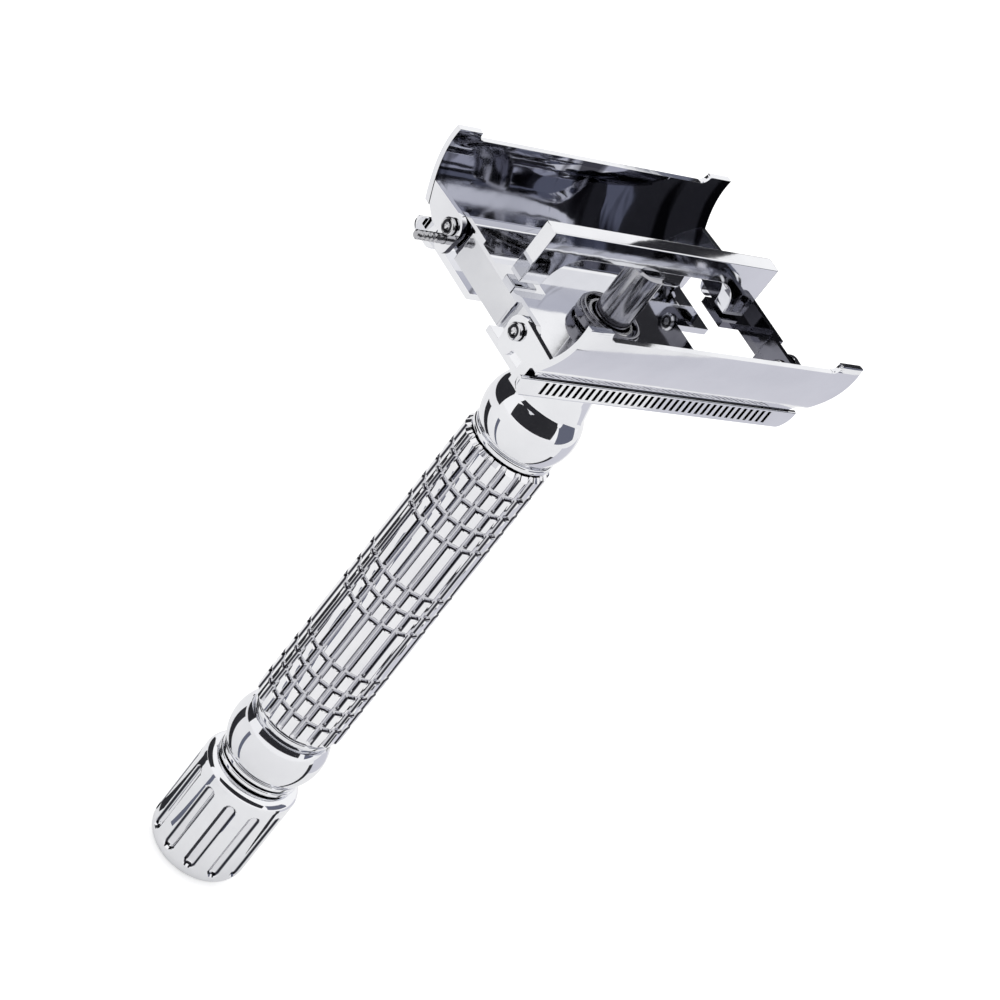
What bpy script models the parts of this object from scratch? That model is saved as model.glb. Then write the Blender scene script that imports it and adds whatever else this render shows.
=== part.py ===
"""Twist-to-open safety razor: a fluted knob turns a screw in the handle, the screw lifts a carrier
through the guard plate, and two curved doors swing open on the carrier's end brackets.

Metres, +Z up along the handle, X along the head, origin at the middle of the knob's flat end.
The razor is modelled fully open.
"""

import math

import bmesh
import bpy
from mathutils import Matrix, Vector

MM = 0.001

# Fits
GAP = 0.30 * MM                    # between pieces that seat on each other
RUNNING = 0.12 * MM                # around pins
SLIDING = 0.30 * MM                # around the push rod and the screw

# Handle, from the knob upwards
KNOB_LENGTH = 15.4 * MM
KNOB_RADIUS = 6.32 * MM
KNOB_RIM = 2.5 * MM
KNOB_SHOULDER = 1.3 * MM
KNOB_BORE_DEPTH = 9.0 * MM
FLUTE_COUNT = 12
FLUTE_RADIUS = 0.72 * MM
FLUTE_DEPTH = 0.55 * MM
FLUTE_END_MARGIN = 2.3 * MM
COLLAR_THICKNESS = 0.65 * MM
COLLAR_RADIUS = 5.25 * MM
LOWER_BALL_RADIUS = 6.20 * MM
LOWER_BALL_REACH = 3.0 * MM        # from the ball's middle to the flat where it is cut off
UPPER_BALL_RADIUS = 5.83 * MM
UPPER_BALL_REACH = 2.8 * MM
UPPER_BALL_CUT = 3.2 * MM          # from its middle up to where the neck leaves it
LIP_THICKNESS = 0.80 * MM
LIP_GROOVE = 0.35 * MM
LIP_EDGE = 0.25 * MM
LIP_WAIST = 0.45 * MM               # how far the groove behind a lip stands in
GRIP_LENGTH = 45.1 * MM
GRIP_TOP_RADIUS = 5.62 * MM
GRIP_FOOT_RADIUS = 5.89 * MM
REED_COUNT = 18
REED_DEPTH = 0.50 * MM
REED_TOP_SHARE = 0.60              # of each reed's pitch that is land, the rest being groove
RING_PITCH = 2.84 * MM
RING_GROUPS = (4, 3, 4)
RING_END_MARGIN = 7.55 * MM        # from the grip's ends to the middles of the outer groups
RING_WIDTH = 0.70 * MM
GRIP_CHAMFER = 0.5 * MM
RING_DEPTH = 0.45 * MM
NECK_TOP_WALL = 1.10 * MM
NECK_WAIST_WALL = 0.45 * MM
NECK_FLARE = 1.5 * MM              # the neck's curve is pulled in here, below its top
NECK_WAIST_END = 4.5 * MM          # and keeps to the waist down to here
NECK_RISE = 12.9 * MM              # from the upper ball's middle to the neck's top

# Drive
ROD_RADIUS = 2.20 * MM
SCREW_RADIUS = 1.30 * MM
TUBE_WALL = 0.50 * MM
BUSH_FIT = 0.1 * MM
STROKE = 4.1 * MM                  # carrier's travel from open to closed
SCREW_LENGTH = 44.0 * MM
SCREW_EDGE = 0.3 * MM
CLIP_GROOVE = 0.35 * MM            # depth of the screw's groove for the retaining ring
CLIP_GROOVE_WIDTH = 0.9 * MM
CLIP_THICKNESS = 0.6 * MM
CLIP_BITE = 0.2 * MM               # how far the ring sits in the groove
ROD_EDGE = 0.2 * MM
THREAD_END = 4.0 * MM              # of the screw that stays out of the rod's bore
ROD_LENGTH = 52.0 * MM

# Guard plate
GUARD_FLOOR = 0.80 * MM
SEAT_RISE = 3.30 * MM              # from the floor to the two rails that carry a blade
SEAT_WIDTH = 1.30 * MM
SEAT_SLOPE = 0.60 * MM             # how far the rail's inner side leans out from its foot
TROUGH_RISE = 0.60 * MM
FLANGE_WALL = 0.50 * MM
FLANGE_OVERHANG = 0.20 * MM        # past the doors' ends
GUARD_CORNER = 2.2 * MM
SLOT_PITCH = 0.985 * MM
SLOT_WIDTH = 0.48 * MM
SLOT_HEIGHT = 1.65 * MM
SLOT_RISE = -0.20 * MM             # guard floor to the slots' lower ends
SLOT_OVERCUT = 0.3 * MM            # the slots bite this far inside the flange
SLOT_MARGIN = 3.8 * MM
FLANGE_STEP = 0.05 * MM            # left of the trough beside the flange at the guard's ends
NOTCH_DEPTH = 1.5 * MM             # from the rails' ends in, for the brackets to sink into
NUT_WALL = 0.60 * MM
NUT_HEIGHT = 1.9 * MM

# Doors and their carrier
DOOR_LENGTH = 42.2 * MM
DOOR_WALL = 0.70 * MM
HINGE_REACH = 7.80 * MM            # hinge axis to the middle plane
HINGE_RISE = 4.10 * MM             # guard floor to hinge axis
DOOR_CURVE = (                     # outer face from the free edge down, as a Bezier about the hinge axis
    (7.50 * MM, 7.65 * MM),
    (7.95 * MM, 3.80 * MM),
    (6.20 * MM, 0.90 * MM),
    (4.30 * MM, -2.05 * MM),
)
DOOR_CURVE_STEPS = 12
RECESS_DEPTH = 1.10 * MM
TAB_LENGTH = 3.3 * MM
SKIRT_INSET = 1.5 * MM             # the tucked lower skirt is this much shorter at each end
SKIRT_TOP = -0.80 * MM             # skirt's top, from the hinge axis
EAR_WALL = 0.70 * MM
EAR_STEP = 0.06 * MM               # the ear's face lies this much inside the wall's end
EAR_RADIUS = 1.75 * MM
LOBE_REACH = 2.00 * MM
LOBE_SHIFT = 0.3 * MM
ARM_TOP = 1.6 * MM                 # the arm meets the door's wall up to here above the hinge
ARM_LOW = -1.6 * MM                # the arm's lower edge, from the hinge
ARM_START = 1.1 * MM               # where that edge leaves the lobe, and where it turns to the wall
ARM_TURN = 2.5 * MM
WALL_LAP = 0.3 * MM                # the arm ends this much above the skirt's top
LOBE_RADIUS = 1.15 * MM
PIN_RADIUS = 0.60 * MM
PIN_HEAD_RADIUS = 1.00 * MM
PIN_HEAD = 0.40 * MM
STUB_RADIUS = 0.55 * MM
STUB_LENGTH = 3.9 * MM
STUB_EDGE = 0.2 * MM
STUB_RINGS = 4
STUB_RING_PITCH = 0.62 * MM
STUB_RING_MARGIN = 0.5 * MM
STUB_RING_WIDTH = 0.30 * MM
STUB_RING_SLOPE = 0.08 * MM
STUB_RING_DEPTH = 0.14 * MM
STUB_PLACE = (-0.15 * MM, -1.62 * MM)
BAR_LENGTH = 34.7 * MM
BAR_THICKNESS = 2.0 * MM
BAR_RISE = 12.2 * MM               # guard floor to the bar's top
BAR_LEG = 3.2 * MM
BAR_DEPTH = 2.9 * MM               # of the bar between its legs
BAR_CLEARANCE = 1.0 * MM           # left under the bar's feet when the head is shut
BRACKET_WALL = 0.70 * MM
BRACKET_PANEL = 10.2 * MM
BRACKET_HEIGHT = 3.25 * MM
BRACKET_TOP_RISE = 5.45 * MM
TONGUE_WIDTH = 4.0 * MM
TONGUE_WALL = 0.80 * MM
TONGUE_OVERRUN = 0.4 * MM          # past the bar's leg
JOGGLE_INSET = 0.9 * MM            # from the panel's edge to where its inner face bends back
JOGGLE_RUN = 0.5 * MM
ROOT_OVERLAP = 0.2 * MM            # how far the tongue goes into the panel
RIVET_RADIUS = 0.65 * MM
RIVET_HEAD_RADIUS = 1.15 * MM
RIVET_HEAD = 0.50 * MM
HEAD_CROWN = 0.25 * MM             # chamfer of every riveted head

# Heights that follow from the stack
COLLAR_Z = KNOB_LENGTH + GAP
WASHER_Z = COLLAR_Z + COLLAR_THICKNESS + GAP
LOWER_BALL_Z = WASHER_Z + COLLAR_THICKNESS + GAP + LOWER_BALL_REACH
LOWER_TOP_Z = LOWER_BALL_Z + LOWER_BALL_REACH + LIP_GROOVE + LIP_THICKNESS
GRIP_Z = LOWER_TOP_Z + GAP
UPPER_FOOT_Z = GRIP_Z + GRIP_LENGTH + GAP
UPPER_BALL_Z = UPPER_FOOT_Z + LIP_THICKNESS + LIP_GROOVE + UPPER_BALL_REACH
NECK_TOP_Z = UPPER_BALL_Z + NECK_RISE
GUARD_Z = NECK_TOP_Z + GAP
FLOOR_Z = GUARD_Z + GUARD_FLOOR
HINGE_Z = FLOOR_Z + HINGE_RISE
BAR_TOP_Z = FLOOR_Z + BAR_RISE
BAR_FOOT_Z = FLOOR_Z + STROKE + BAR_CLEARANCE

# Places in the head that follow from the doors
FLANGE_REACH = HINGE_REACH + DOOR_CURVE[-1][0]
DOOR_END = DOOR_LENGTH / 2
EAR_OUTER = DOOR_END - EAR_STEP
EAR_INNER = EAR_OUTER - EAR_WALL
WING_OUTER = EAR_INNER - GAP
WING_INNER = WING_OUTER - BRACKET_WALL
PANEL_OUTER = WING_OUTER + BRACKET_WALL + 0.10 * MM
PANEL_INNER = PANEL_OUTER - BRACKET_WALL
RAIL_END = EAR_INNER - GAP
GUARD_END = DOOR_END + FLANGE_OVERHANG
BAR_END = BAR_LENGTH / 2

# Radii that follow from the push rod
TUBE_BORE = ROD_RADIUS + SLIDING
TUBE_RADIUS = TUBE_BORE + TUBE_WALL
SLEEVE_BORE = TUBE_RADIUS + SLIDING
NUT_RADIUS = TUBE_RADIUS + GAP + NUT_WALL
NECK_TOP_RADIUS = SLEEVE_BORE + NECK_TOP_WALL
NECK_WAIST_RADIUS = SLEEVE_BORE + NECK_WAIST_WALL
ROD_BORE = SCREW_RADIUS + SLIDING

PAST = 1.0 * MM                    # how far cutters run past what they cut

ROUND_STEPS = 36
SMALL_STEPS = 16
PIN_STEPS = 12

YZ_PLANE = Matrix.Rotation(math.pi / 2, 4, "Z") @ Matrix.Rotation(math.pi / 2, 4, "X")
XZ_PLANE = Matrix.Rotation(math.pi / 2, 4, "X")


# ---------------------------------------------------------------- scene and materials

def clear_scene():
    for old in list(bpy.data.objects):
        bpy.data.objects.remove(old, do_unlink=True)


def make_collection(name):
    collection = bpy.data.collections.new(name)
    bpy.context.scene.collection.children.link(collection)
    return collection


def make_metal(name, color, roughness):
    metal = bpy.data.materials.new(name)
    metal.use_nodes = True
    shader = metal.node_tree.nodes["Principled BSDF"]
    shader.inputs["Base Color"].default_value = (*color, 1.0)
    shader.inputs["Metallic"].default_value = 1.0
    shader.inputs["Roughness"].default_value = roughness
    return metal


clear_scene()
RAZOR = make_collection("safety_razor")
CUTTERS = make_collection("cutters")


def add_part(name, mesh, roughness=0.08, color=(0.82, 0.82, 0.84)):
    part = bpy.data.objects.new(name, mesh)
    RAZOR.objects.link(part)
    mesh.materials.clear()
    mesh.materials.append(make_metal(name + "_metal", color, roughness))
    return part


def add_cutter(name, mesh):
    cutter = bpy.data.objects.new(name, mesh)
    CUTTERS.objects.link(cutter)
    cutter.hide_render = True
    cutter.display_type = "WIRE"
    return cutter


def hang_on(parts, pivot_name, place):
    pivot = bpy.data.objects.new(pivot_name, None)
    pivot.location = place
    pivot.empty_display_size = 0.004
    RAZOR.objects.link(pivot)
    for part in parts:
        part.parent = pivot
        part.matrix_parent_inverse = Matrix.Translation(-Vector(place))


# ---------------------------------------------------------------- shape tools

def arc(centre, radius, start, end, steps):
    """Points along an arc, angles in degrees, both ends included."""
    points = []
    for step in range(steps + 1):
        angle = math.radians(start + (end - start) * step / steps)
        points.append((centre[0] + radius * math.cos(angle), centre[1] + radius * math.sin(angle)))
    return points


def bezier(controls, steps):
    points = []
    for step in range(steps + 1):
        t = step / steps
        s = 1.0 - t
        weights = (s ** 3, 3 * s * s * t, 3 * s * t * t, t ** 3)
        points.append(tuple(sum(w * p[axis] for w, p in zip(weights, controls)) for axis in (0, 1)))
    return points


def offset(points, distance):
    """The same open line moved sideways, to the left of its direction."""
    moved = []
    for index, point in enumerate(points):
        before = points[max(index - 1, 0)]
        after = points[min(index + 1, len(points) - 1)]
        along = Vector((after[0] - before[0], after[1] - before[1])).normalized()
        moved.append((point[0] - along.y * distance, point[1] + along.x * distance))
    return moved


def finished(mesh):
    """Welds a mesh, turns its faces outwards and shades it smooth up to its sharp edges."""
    shape = bmesh.new()
    shape.from_mesh(mesh)
    bmesh.ops.remove_doubles(shape, verts=shape.verts, dist=0.000002)
    bmesh.ops.recalc_face_normals(shape, faces=shape.faces)
    shape.to_mesh(mesh)
    shape.free()
    mesh.shade_smooth()
    mesh.set_sharp_from_angle(angle=math.radians(35))
    return mesh


def evaluated_mesh(source):
    """A plain mesh of an object as its modifiers leave it; the object itself is removed."""
    bpy.context.view_layer.update()
    graph = bpy.context.evaluated_depsgraph_get()
    mesh = bpy.data.meshes.new_from_object(source.evaluated_get(graph))
    mesh.transform(source.matrix_world)
    bpy.data.objects.remove(source, do_unlink=True)
    return finished(mesh)


def plate(name, outline, low, high, plane):
    """A flat outline extruded from low to high along its plane's normal."""
    curve = bpy.data.curves.new(name, "CURVE")
    curve.dimensions = "2D"
    curve.fill_mode = "BOTH"
    curve.extrude = (high - low) / 2
    spline = curve.splines.new("POLY")
    spline.points.add(len(outline) - 1)
    for point, (u, v) in zip(spline.points, outline):
        point.co = (u, v, 0.0, 1.0)
    spline.use_cyclic_u = True
    sheet = bpy.data.objects.new(name, curve)
    sheet.matrix_world = plane @ Matrix.Translation((0.0, 0.0, (high + low) / 2))
    CUTTERS.objects.link(sheet)
    mesh = evaluated_mesh(sheet)
    bpy.data.curves.remove(curve)
    return mesh


def turned(name, profile, steps=ROUND_STEPS, closed=False):
    """A profile of (radius, height) points, running down its outer side, turned about Z."""
    mesh = bpy.data.meshes.new(name)
    edges = [(index, index + 1) for index in range(len(profile) - 1)]
    if closed:
        edges.append((len(profile) - 1, 0))
    mesh.from_pydata([(radius, 0.0, height) for radius, height in profile], edges, [])
    lathe = bpy.data.objects.new(name, mesh)
    CUTTERS.objects.link(lathe)
    screw = lathe.modifiers.new("turn", "SCREW")
    screw.steps = steps
    screw.render_steps = steps
    screw.use_merge_vertices = True
    screw.merge_threshold = 0.00001
    return evaluated_mesh(lathe)


def cylinder(name, radius, low, high, steps=SMALL_STEPS):
    return turned(name, [(0.0, high), (radius, high), (radius, low), (0.0, low)], steps)


def box(name, low, high):
    mesh = bpy.data.meshes.new(name)
    shape = bmesh.new()
    bmesh.ops.create_cube(shape, size=1.0)
    size = Vector(high) - Vector(low)
    middle = (Vector(high) + Vector(low)) / 2
    bmesh.ops.scale(shape, vec=size, verts=shape.verts)
    bmesh.ops.translate(shape, vec=middle, verts=shape.verts)
    shape.to_mesh(mesh)
    shape.free()
    return mesh


def moved(mesh, matrix):
    mesh.transform(matrix)
    return finished(mesh)


def joined(name, meshes):
    """Several separate closed shapes in one cutter mesh."""
    shape = bmesh.new()
    for mesh in meshes:
        shape.from_mesh(mesh)
    group = bpy.data.meshes.new(name)
    shape.to_mesh(group)
    shape.free()
    return group


def combine(part, operation, mesh):
    """Cuts, joins or intersects a part with another shape and keeps the result."""
    tool = add_cutter(part.name + "_" + operation.lower(), mesh)
    boolean = part.modifiers.new(operation.lower(), "BOOLEAN")
    boolean.operation = operation
    boolean.solver = "EXACT"
    boolean.object = tool
    bpy.context.view_layer.update()
    graph = bpy.context.evaluated_depsgraph_get()
    result = bpy.data.meshes.new_from_object(part.evaluated_get(graph))
    part.modifiers.clear()
    part.data = finished(result)


# ---------------------------------------------------------------- knob and drive

def knob_profile(bore, bore_depth):
    rim = arc((KNOB_RADIUS - KNOB_RIM, KNOB_RIM), KNOB_RIM, 0, -90, 4)
    shoulder = arc((KNOB_RADIUS - KNOB_SHOULDER, KNOB_LENGTH - KNOB_SHOULDER), KNOB_SHOULDER, 90, 0, 3)
    floor = KNOB_LENGTH - bore_depth
    inside = [(0.0, 0.0)]
    mouth = [(0.0, floor), (bore, floor), (bore, KNOB_LENGTH)]
    return mouth + shoulder + rim + inside


def make_knob():
    knob = add_part("twist_knob", turned("twist_knob", knob_profile(SCREW_RADIUS + GAP, KNOB_BORE_DEPTH)), 0.07)
    reach = KNOB_RADIUS + FLUTE_RADIUS - FLUTE_DEPTH
    low = FLUTE_END_MARGIN + FLUTE_RADIUS
    high = KNOB_LENGTH - FLUTE_END_MARGIN - FLUTE_RADIUS
    capsule = arc((0.0, high), FLUTE_RADIUS, 90, 0, 2) + arc((0.0, low), FLUTE_RADIUS, 0, -90, 2)
    flutes = []
    for index in range(FLUTE_COUNT):
        turn = Matrix.Rotation(2 * math.pi * (index + 0.5) / FLUTE_COUNT, 4, "Z")
        flute = turned("flute", capsule, 10)
        flutes.append(moved(flute, turn @ Matrix.Translation((reach, 0.0, 0.0))))
    combine(knob, "DIFFERENCE", joined("flutes", flutes))
    return knob


def make_ring(name, inner, outer, low, high, steps=ROUND_STEPS):
    edge = min((high - low) * 0.3, 0.2 * MM)
    profile = [
        (inner, high),
        (outer - edge, high),
        (outer, high - edge),
        (outer, low + edge),
        (outer - edge, low),
        (inner, low),
    ]
    return add_part(name, turned(name, profile, steps, closed=True))


def make_screw():
    foot = KNOB_LENGTH - KNOB_BORE_DEPTH + GAP
    top = foot + SCREW_LENGTH
    clip = clip_height()
    inner = SCREW_RADIUS - CLIP_GROOVE
    groove_top = clip + CLIP_GROOVE_WIDTH
    groove = [(SCREW_RADIUS, groove_top), (inner, groove_top), (inner, clip), (SCREW_RADIUS, clip)]
    profile = [(0.0, top), (SCREW_RADIUS - SCREW_EDGE, top), (SCREW_RADIUS, top - SCREW_EDGE)]
    profile += groove + [(SCREW_RADIUS, foot), (0.0, foot)]
    return add_part("drive_screw", turned("drive_screw", profile, SMALL_STEPS), 0.25, (0.62, 0.60, 0.56))


def clip_height():
    return bush_top() + GAP


def bush_top():
    return LOWER_TOP_Z - LIP_THICKNESS


def make_drive():
    screw = make_screw()
    collar = make_ring("knob_collar", SCREW_RADIUS + GAP, COLLAR_RADIUS, COLLAR_Z, COLLAR_Z + COLLAR_THICKNESS)
    clip_foot = clip_height() + (CLIP_GROOVE_WIDTH - CLIP_THICKNESS) / 2
    clip = make_ring("retaining_ring", SCREW_RADIUS - CLIP_BITE, TUBE_BORE - GAP,
                     clip_foot, clip_foot + CLIP_THICKNESS, SMALL_STEPS)
    return [make_knob(), screw, collar, clip]


def make_push_rod():
    top = BAR_TOP_Z - BAR_DEPTH - GAP
    foot = top - ROD_LENGTH
    bore_top = foot + SCREW_LENGTH - THREAD_END
    profile = [
        (0.0, top),
        (ROD_RADIUS - ROD_EDGE, top),
        (ROD_RADIUS, top - ROD_EDGE),
        (ROD_RADIUS, foot),
        (ROD_BORE, foot),
        (ROD_BORE, bore_top),
        (0.0, bore_top),
    ]
    return add_part("push_rod", turned("push_rod", profile, 28), 0.12, (0.66, 0.66, 0.68))


# ---------------------------------------------------------------- handle

def ball(reach_low, reach_high, radius, middle, steps):
    """Outer points of a ball cut flat below and above, from top to bottom."""
    high = math.degrees(math.asin(reach_high / radius))
    low = math.degrees(math.asin(reach_low / radius))
    return arc((0.0, middle), radius, high, -low, steps)


def lip(foot, radius):
    """Outer points of a thin rounded lip, from top to bottom."""
    top = foot + LIP_THICKNESS
    return [
        (radius - LIP_EDGE, top),
        (radius, top - LIP_EDGE),
        (radius, foot + LIP_EDGE),
        (radius - LIP_EDGE, foot),
    ]


def make_end_ferrule():
    foot = LOWER_BALL_Z - LOWER_BALL_REACH
    waist = COLLAR_RADIUS - LIP_WAIST
    lip_foot = LOWER_TOP_Z - LIP_THICKNESS
    outer = lip(lip_foot, COLLAR_RADIUS)
    outer += [(waist, lip_foot), (waist, lip_foot - LIP_GROOVE)]
    outer += ball(LOWER_BALL_REACH, LOWER_BALL_REACH, LOWER_BALL_RADIUS, LOWER_BALL_Z, 8)
    inner = [(SLEEVE_BORE, foot), (SLEEVE_BORE, LOWER_TOP_Z)]
    return add_part("end_ferrule", turned("end_ferrule", outer + inner, closed=True), 0.06)


def make_neck_ferrule():
    waist = COLLAR_RADIUS - LIP_WAIST
    lip_top = UPPER_FOOT_Z + LIP_THICKNESS
    shoulder = math.sqrt(UPPER_BALL_RADIUS ** 2 - UPPER_BALL_CUT ** 2)
    neck = bezier((
        (NECK_TOP_RADIUS, NECK_TOP_Z),
        (NECK_WAIST_RADIUS, NECK_TOP_Z - NECK_FLARE),
        (NECK_WAIST_RADIUS, NECK_TOP_Z - NECK_WAIST_END),
        (shoulder, UPPER_BALL_Z + UPPER_BALL_CUT),
    ), 5)
    outer = neck[:-1] + ball(UPPER_BALL_REACH, UPPER_BALL_CUT, UPPER_BALL_RADIUS, UPPER_BALL_Z, 8)
    outer += [(waist, lip_top + LIP_GROOVE), (waist, lip_top)]
    outer += lip(UPPER_FOOT_Z, COLLAR_RADIUS)
    inner = [(SLEEVE_BORE, UPPER_FOOT_Z), (SLEEVE_BORE, NECK_TOP_Z)]
    return add_part("neck_ferrule", turned("neck_ferrule", outer + inner, closed=True), 0.06)


def ring_heights():
    middle = GRIP_Z + GRIP_LENGTH / 2
    heights = []
    for group, count in enumerate(RING_GROUPS):
        centre = middle + (group - 1) * (GRIP_LENGTH / 2 - RING_END_MARGIN)
        for ring in range(count):
            heights.append(centre + (ring - (count - 1) / 2) * RING_PITCH)
    return heights


def grip_levels():
    """Heights up the grip, each with how far the lands stand in there."""
    levels = [(GRIP_Z, REED_DEPTH), (GRIP_Z + GRIP_CHAMFER, 0.0)]
    for height in ring_heights():
        levels += [
            (height - RING_WIDTH / 2, 0.0),
            (height, RING_DEPTH),
            (height + RING_WIDTH / 2, 0.0),
        ]
    top = GRIP_Z + GRIP_LENGTH
    return levels + [(top - GRIP_CHAMFER, 0.0), (top, REED_DEPTH)]


def make_grip():
    """The reeded sleeve: one toothed section lofted up through the ring grooves."""
    shape = bmesh.new()
    pitch = 2 * math.pi / REED_COUNT
    land = REED_TOP_SHARE / 2
    marks = ((-land, 0.0), (land, 0.0), (0.5, REED_DEPTH))
    rows = []
    for height, inset in grip_levels():
        share = (height - GRIP_Z) / GRIP_LENGTH
        radius = GRIP_FOOT_RADIUS + (GRIP_TOP_RADIUS - GRIP_FOOT_RADIUS) * share
        row = []
        for reed in range(REED_COUNT):
            for mark, depth in marks:
                reach = radius - max(depth, inset)
                angle = pitch * (reed + mark)
                row.append(shape.verts.new((reach * math.cos(angle), reach * math.sin(angle), height)))
        rows.append(row)
    for end in (GRIP_Z + GRIP_LENGTH, GRIP_Z):
        row = []
        for reed in range(REED_COUNT):
            for mark, _ in marks:
                angle = pitch * (reed + mark)
                row.append(shape.verts.new((SLEEVE_BORE * math.cos(angle), SLEEVE_BORE * math.sin(angle), end)))
        rows.append(row)
    rows.append(rows[0])
    for lower, upper in zip(rows, rows[1:]):
        for index in range(len(lower)):
            after = (index + 1) % len(lower)
            shape.faces.new((lower[index], lower[after], upper[after], upper[index]))
    mesh = bpy.data.meshes.new("grip_sleeve")
    shape.to_mesh(mesh)
    shape.free()
    return add_part("grip_sleeve", finished(mesh), 0.08)


def make_handle():
    foot = LOWER_BALL_Z - LOWER_BALL_REACH
    tube_top = FLOOR_Z + NUT_HEIGHT - GAP
    tube = make_ring("core_tube", TUBE_BORE, TUBE_RADIUS, foot, tube_top, 28)
    bush = make_ring("spindle_bush", SCREW_RADIUS + SLIDING, TUBE_BORE - BUSH_FIT, foot, bush_top(), SMALL_STEPS)
    washer = make_ring("thrust_washer", SCREW_RADIUS + GAP, COLLAR_RADIUS, WASHER_Z, WASHER_Z + COLLAR_THICKNESS)
    return [make_end_ferrule(), make_grip(), make_neck_ferrule(), tube, bush, washer]


# ---------------------------------------------------------------- guard plate

def door_outer():
    """Outer face of a door in (Y, Z), from its free edge down, on the +Y side."""
    return [(HINGE_REACH + u, HINGE_Z + v) for u, v in bezier(DOOR_CURVE, DOOR_CURVE_STEPS)]


def door_foot_reach():
    """How far out the inner corner of the door's lower edge is."""
    return offset(door_outer(), -DOOR_WALL)[-1][0]


def guard_outline():
    """Half of the guard's section in (Y, Z): floor, blade rail, shallow trough and slotted flange."""
    seat_z = FLOOR_Z + SEAT_RISE
    trough_z = FLOOR_Z + TROUGH_RISE
    flange_top = HINGE_Z + DOOR_CURVE[-1][1] - GAP
    flange_inner = FLANGE_REACH - FLANGE_WALL
    seat_outer = door_foot_reach() - GAP
    seat_inner = seat_outer - SEAT_WIDTH
    rounding = FLANGE_WALL / 3
    return [
        (0.0, FLOOR_Z),
        (seat_inner - SEAT_SLOPE, FLOOR_Z),
        (seat_inner, seat_z),
        (seat_outer, seat_z),
        (seat_outer, trough_z),
        (flange_inner, trough_z),
        (flange_inner, flange_top),
        (FLANGE_REACH - rounding, flange_top),
        (FLANGE_REACH, flange_top - rounding),
        (FLANGE_REACH, GUARD_Z + rounding),
        (FLANGE_REACH - rounding, GUARD_Z),
        (0.0, GUARD_Z),
    ]


def guard_side_view():
    """The guard as seen from the front, with its lower corners rounded."""
    high = FLOOR_Z + SEAT_RISE + PAST
    corner_x = GUARD_END - GUARD_CORNER
    corner_z = GUARD_Z + GUARD_CORNER
    foot = math.radians(80)
    low = corner_z - GUARD_CORNER * math.sin(foot)
    right = arc((corner_x, corner_z), GUARD_CORNER, -math.degrees(foot), 0, 5)
    left = [(-x, z) for x, z in reversed(right)]
    under = [(-corner_x, low - PAST), (corner_x, low - PAST)]
    return left + under + right + [(GUARD_END, high), (-GUARD_END, high)]


def make_guard():
    half = guard_outline()
    outline = half + [(-y, z) for y, z in reversed(half[1:-1])]
    guard = add_part("guard_plate", plate("guard_plate", outline, -GUARD_END, GUARD_END, YZ_PLANE), 0.07)
    width = 2 * FLANGE_REACH
    combine(guard, "INTERSECT", plate("side_view", guard_side_view(), -width, width, XZ_PLANE))
    below = GUARD_Z - PAST
    above = FLOOR_Z + SEAT_RISE + PAST
    inner_wall = FLANGE_REACH - FLANGE_WALL
    steps = (
        (RAIL_END, inner_wall + FLANGE_STEP),
        (RAIL_END - NOTCH_DEPTH, HINGE_REACH + EAR_RADIUS + GAP),
        (tongue_end(GAP), TONGUE_WIDTH / 2 + GAP),
    )
    for side in (-1, 1):
        for start, half_width in steps:
            near, far = sorted((side * start, side * (GUARD_END + PAST)))
            combine(guard, "DIFFERENCE", box("end_step", (near, -half_width, below), (far, half_width, above)))
    combine(guard, "DIFFERENCE", cylinder("hole", TUBE_RADIUS + GAP, below, above, 28))
    combine(guard, "DIFFERENCE", joined("slots", guard_slots(inner_wall)))
    return guard


def guard_slots(flange_inner):
    run = 2 * (GUARD_END - SLOT_MARGIN)
    count = int(run / SLOT_PITCH) + 1
    low = FLOOR_Z + SLOT_RISE
    slots = []
    reach = flange_inner + FLANGE_WALL + PAST
    for side in (-1, 1):
        near, far = sorted((side * (flange_inner - SLOT_OVERCUT), side * reach))
        for index in range(count):
            middle = (index - (count - 1) / 2) * SLOT_PITCH
            slots.append(box("slot", (middle - SLOT_WIDTH / 2, near, low),
                             (middle + SLOT_WIDTH / 2, far, low + SLOT_HEIGHT)))
    return slots


def make_head_nut():
    return make_ring("head_nut", TUBE_RADIUS + GAP, NUT_RADIUS, FLOOR_Z + GAP, FLOOR_Z + NUT_HEIGHT, 28)


# ---------------------------------------------------------------- carrier

def tongue_end(extra=0.0):
    """Inner end of a bracket's tongue, just past the bar's leg."""
    return BAR_END - BAR_LEG - TONGUE_OVERRUN - extra


def make_center_bar():
    leg_inner = BAR_END - BAR_LEG
    web = BAR_TOP_Z - BAR_DEPTH
    rise = web - BAR_FOOT_Z
    left_arch = arc((-leg_inner + rise, BAR_FOOT_Z), rise, 180, 90, 6)
    right_arch = arc((leg_inner - rise, BAR_FOOT_Z), rise, 90, 0, 6)
    outline = [(BAR_END, BAR_FOOT_Z), (BAR_END, BAR_TOP_Z), (-BAR_END, BAR_TOP_Z), (-BAR_END, BAR_FOOT_Z)]
    outline += left_arch + right_arch
    half = BAR_THICKNESS / 2
    return add_part("center_bar", plate("center_bar", outline, -half, half, XZ_PLANE), 0.08)


def bracket_plan(side):
    """The bracket's end wall from above, in (X, Y): a middle panel joggled out between two wings."""
    panel = BRACKET_PANEL / 2
    wing = HINGE_REACH + EAR_RADIUS + PAST
    joggle = panel - JOGGLE_INSET
    upper = [
        (WING_INNER, wing),
        (WING_INNER, joggle),
        (PANEL_INNER, joggle - JOGGLE_RUN),
    ]
    lower = [(x, -y) for x, y in reversed(upper)]
    back = [
        (WING_OUTER, -wing),
        (WING_OUTER, -panel),
        (PANEL_OUTER, -panel),
    ]
    front = [(x, -y) for x, y in reversed(back)]
    return [(side * x, y) for x, y in upper + lower + back + front]


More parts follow.
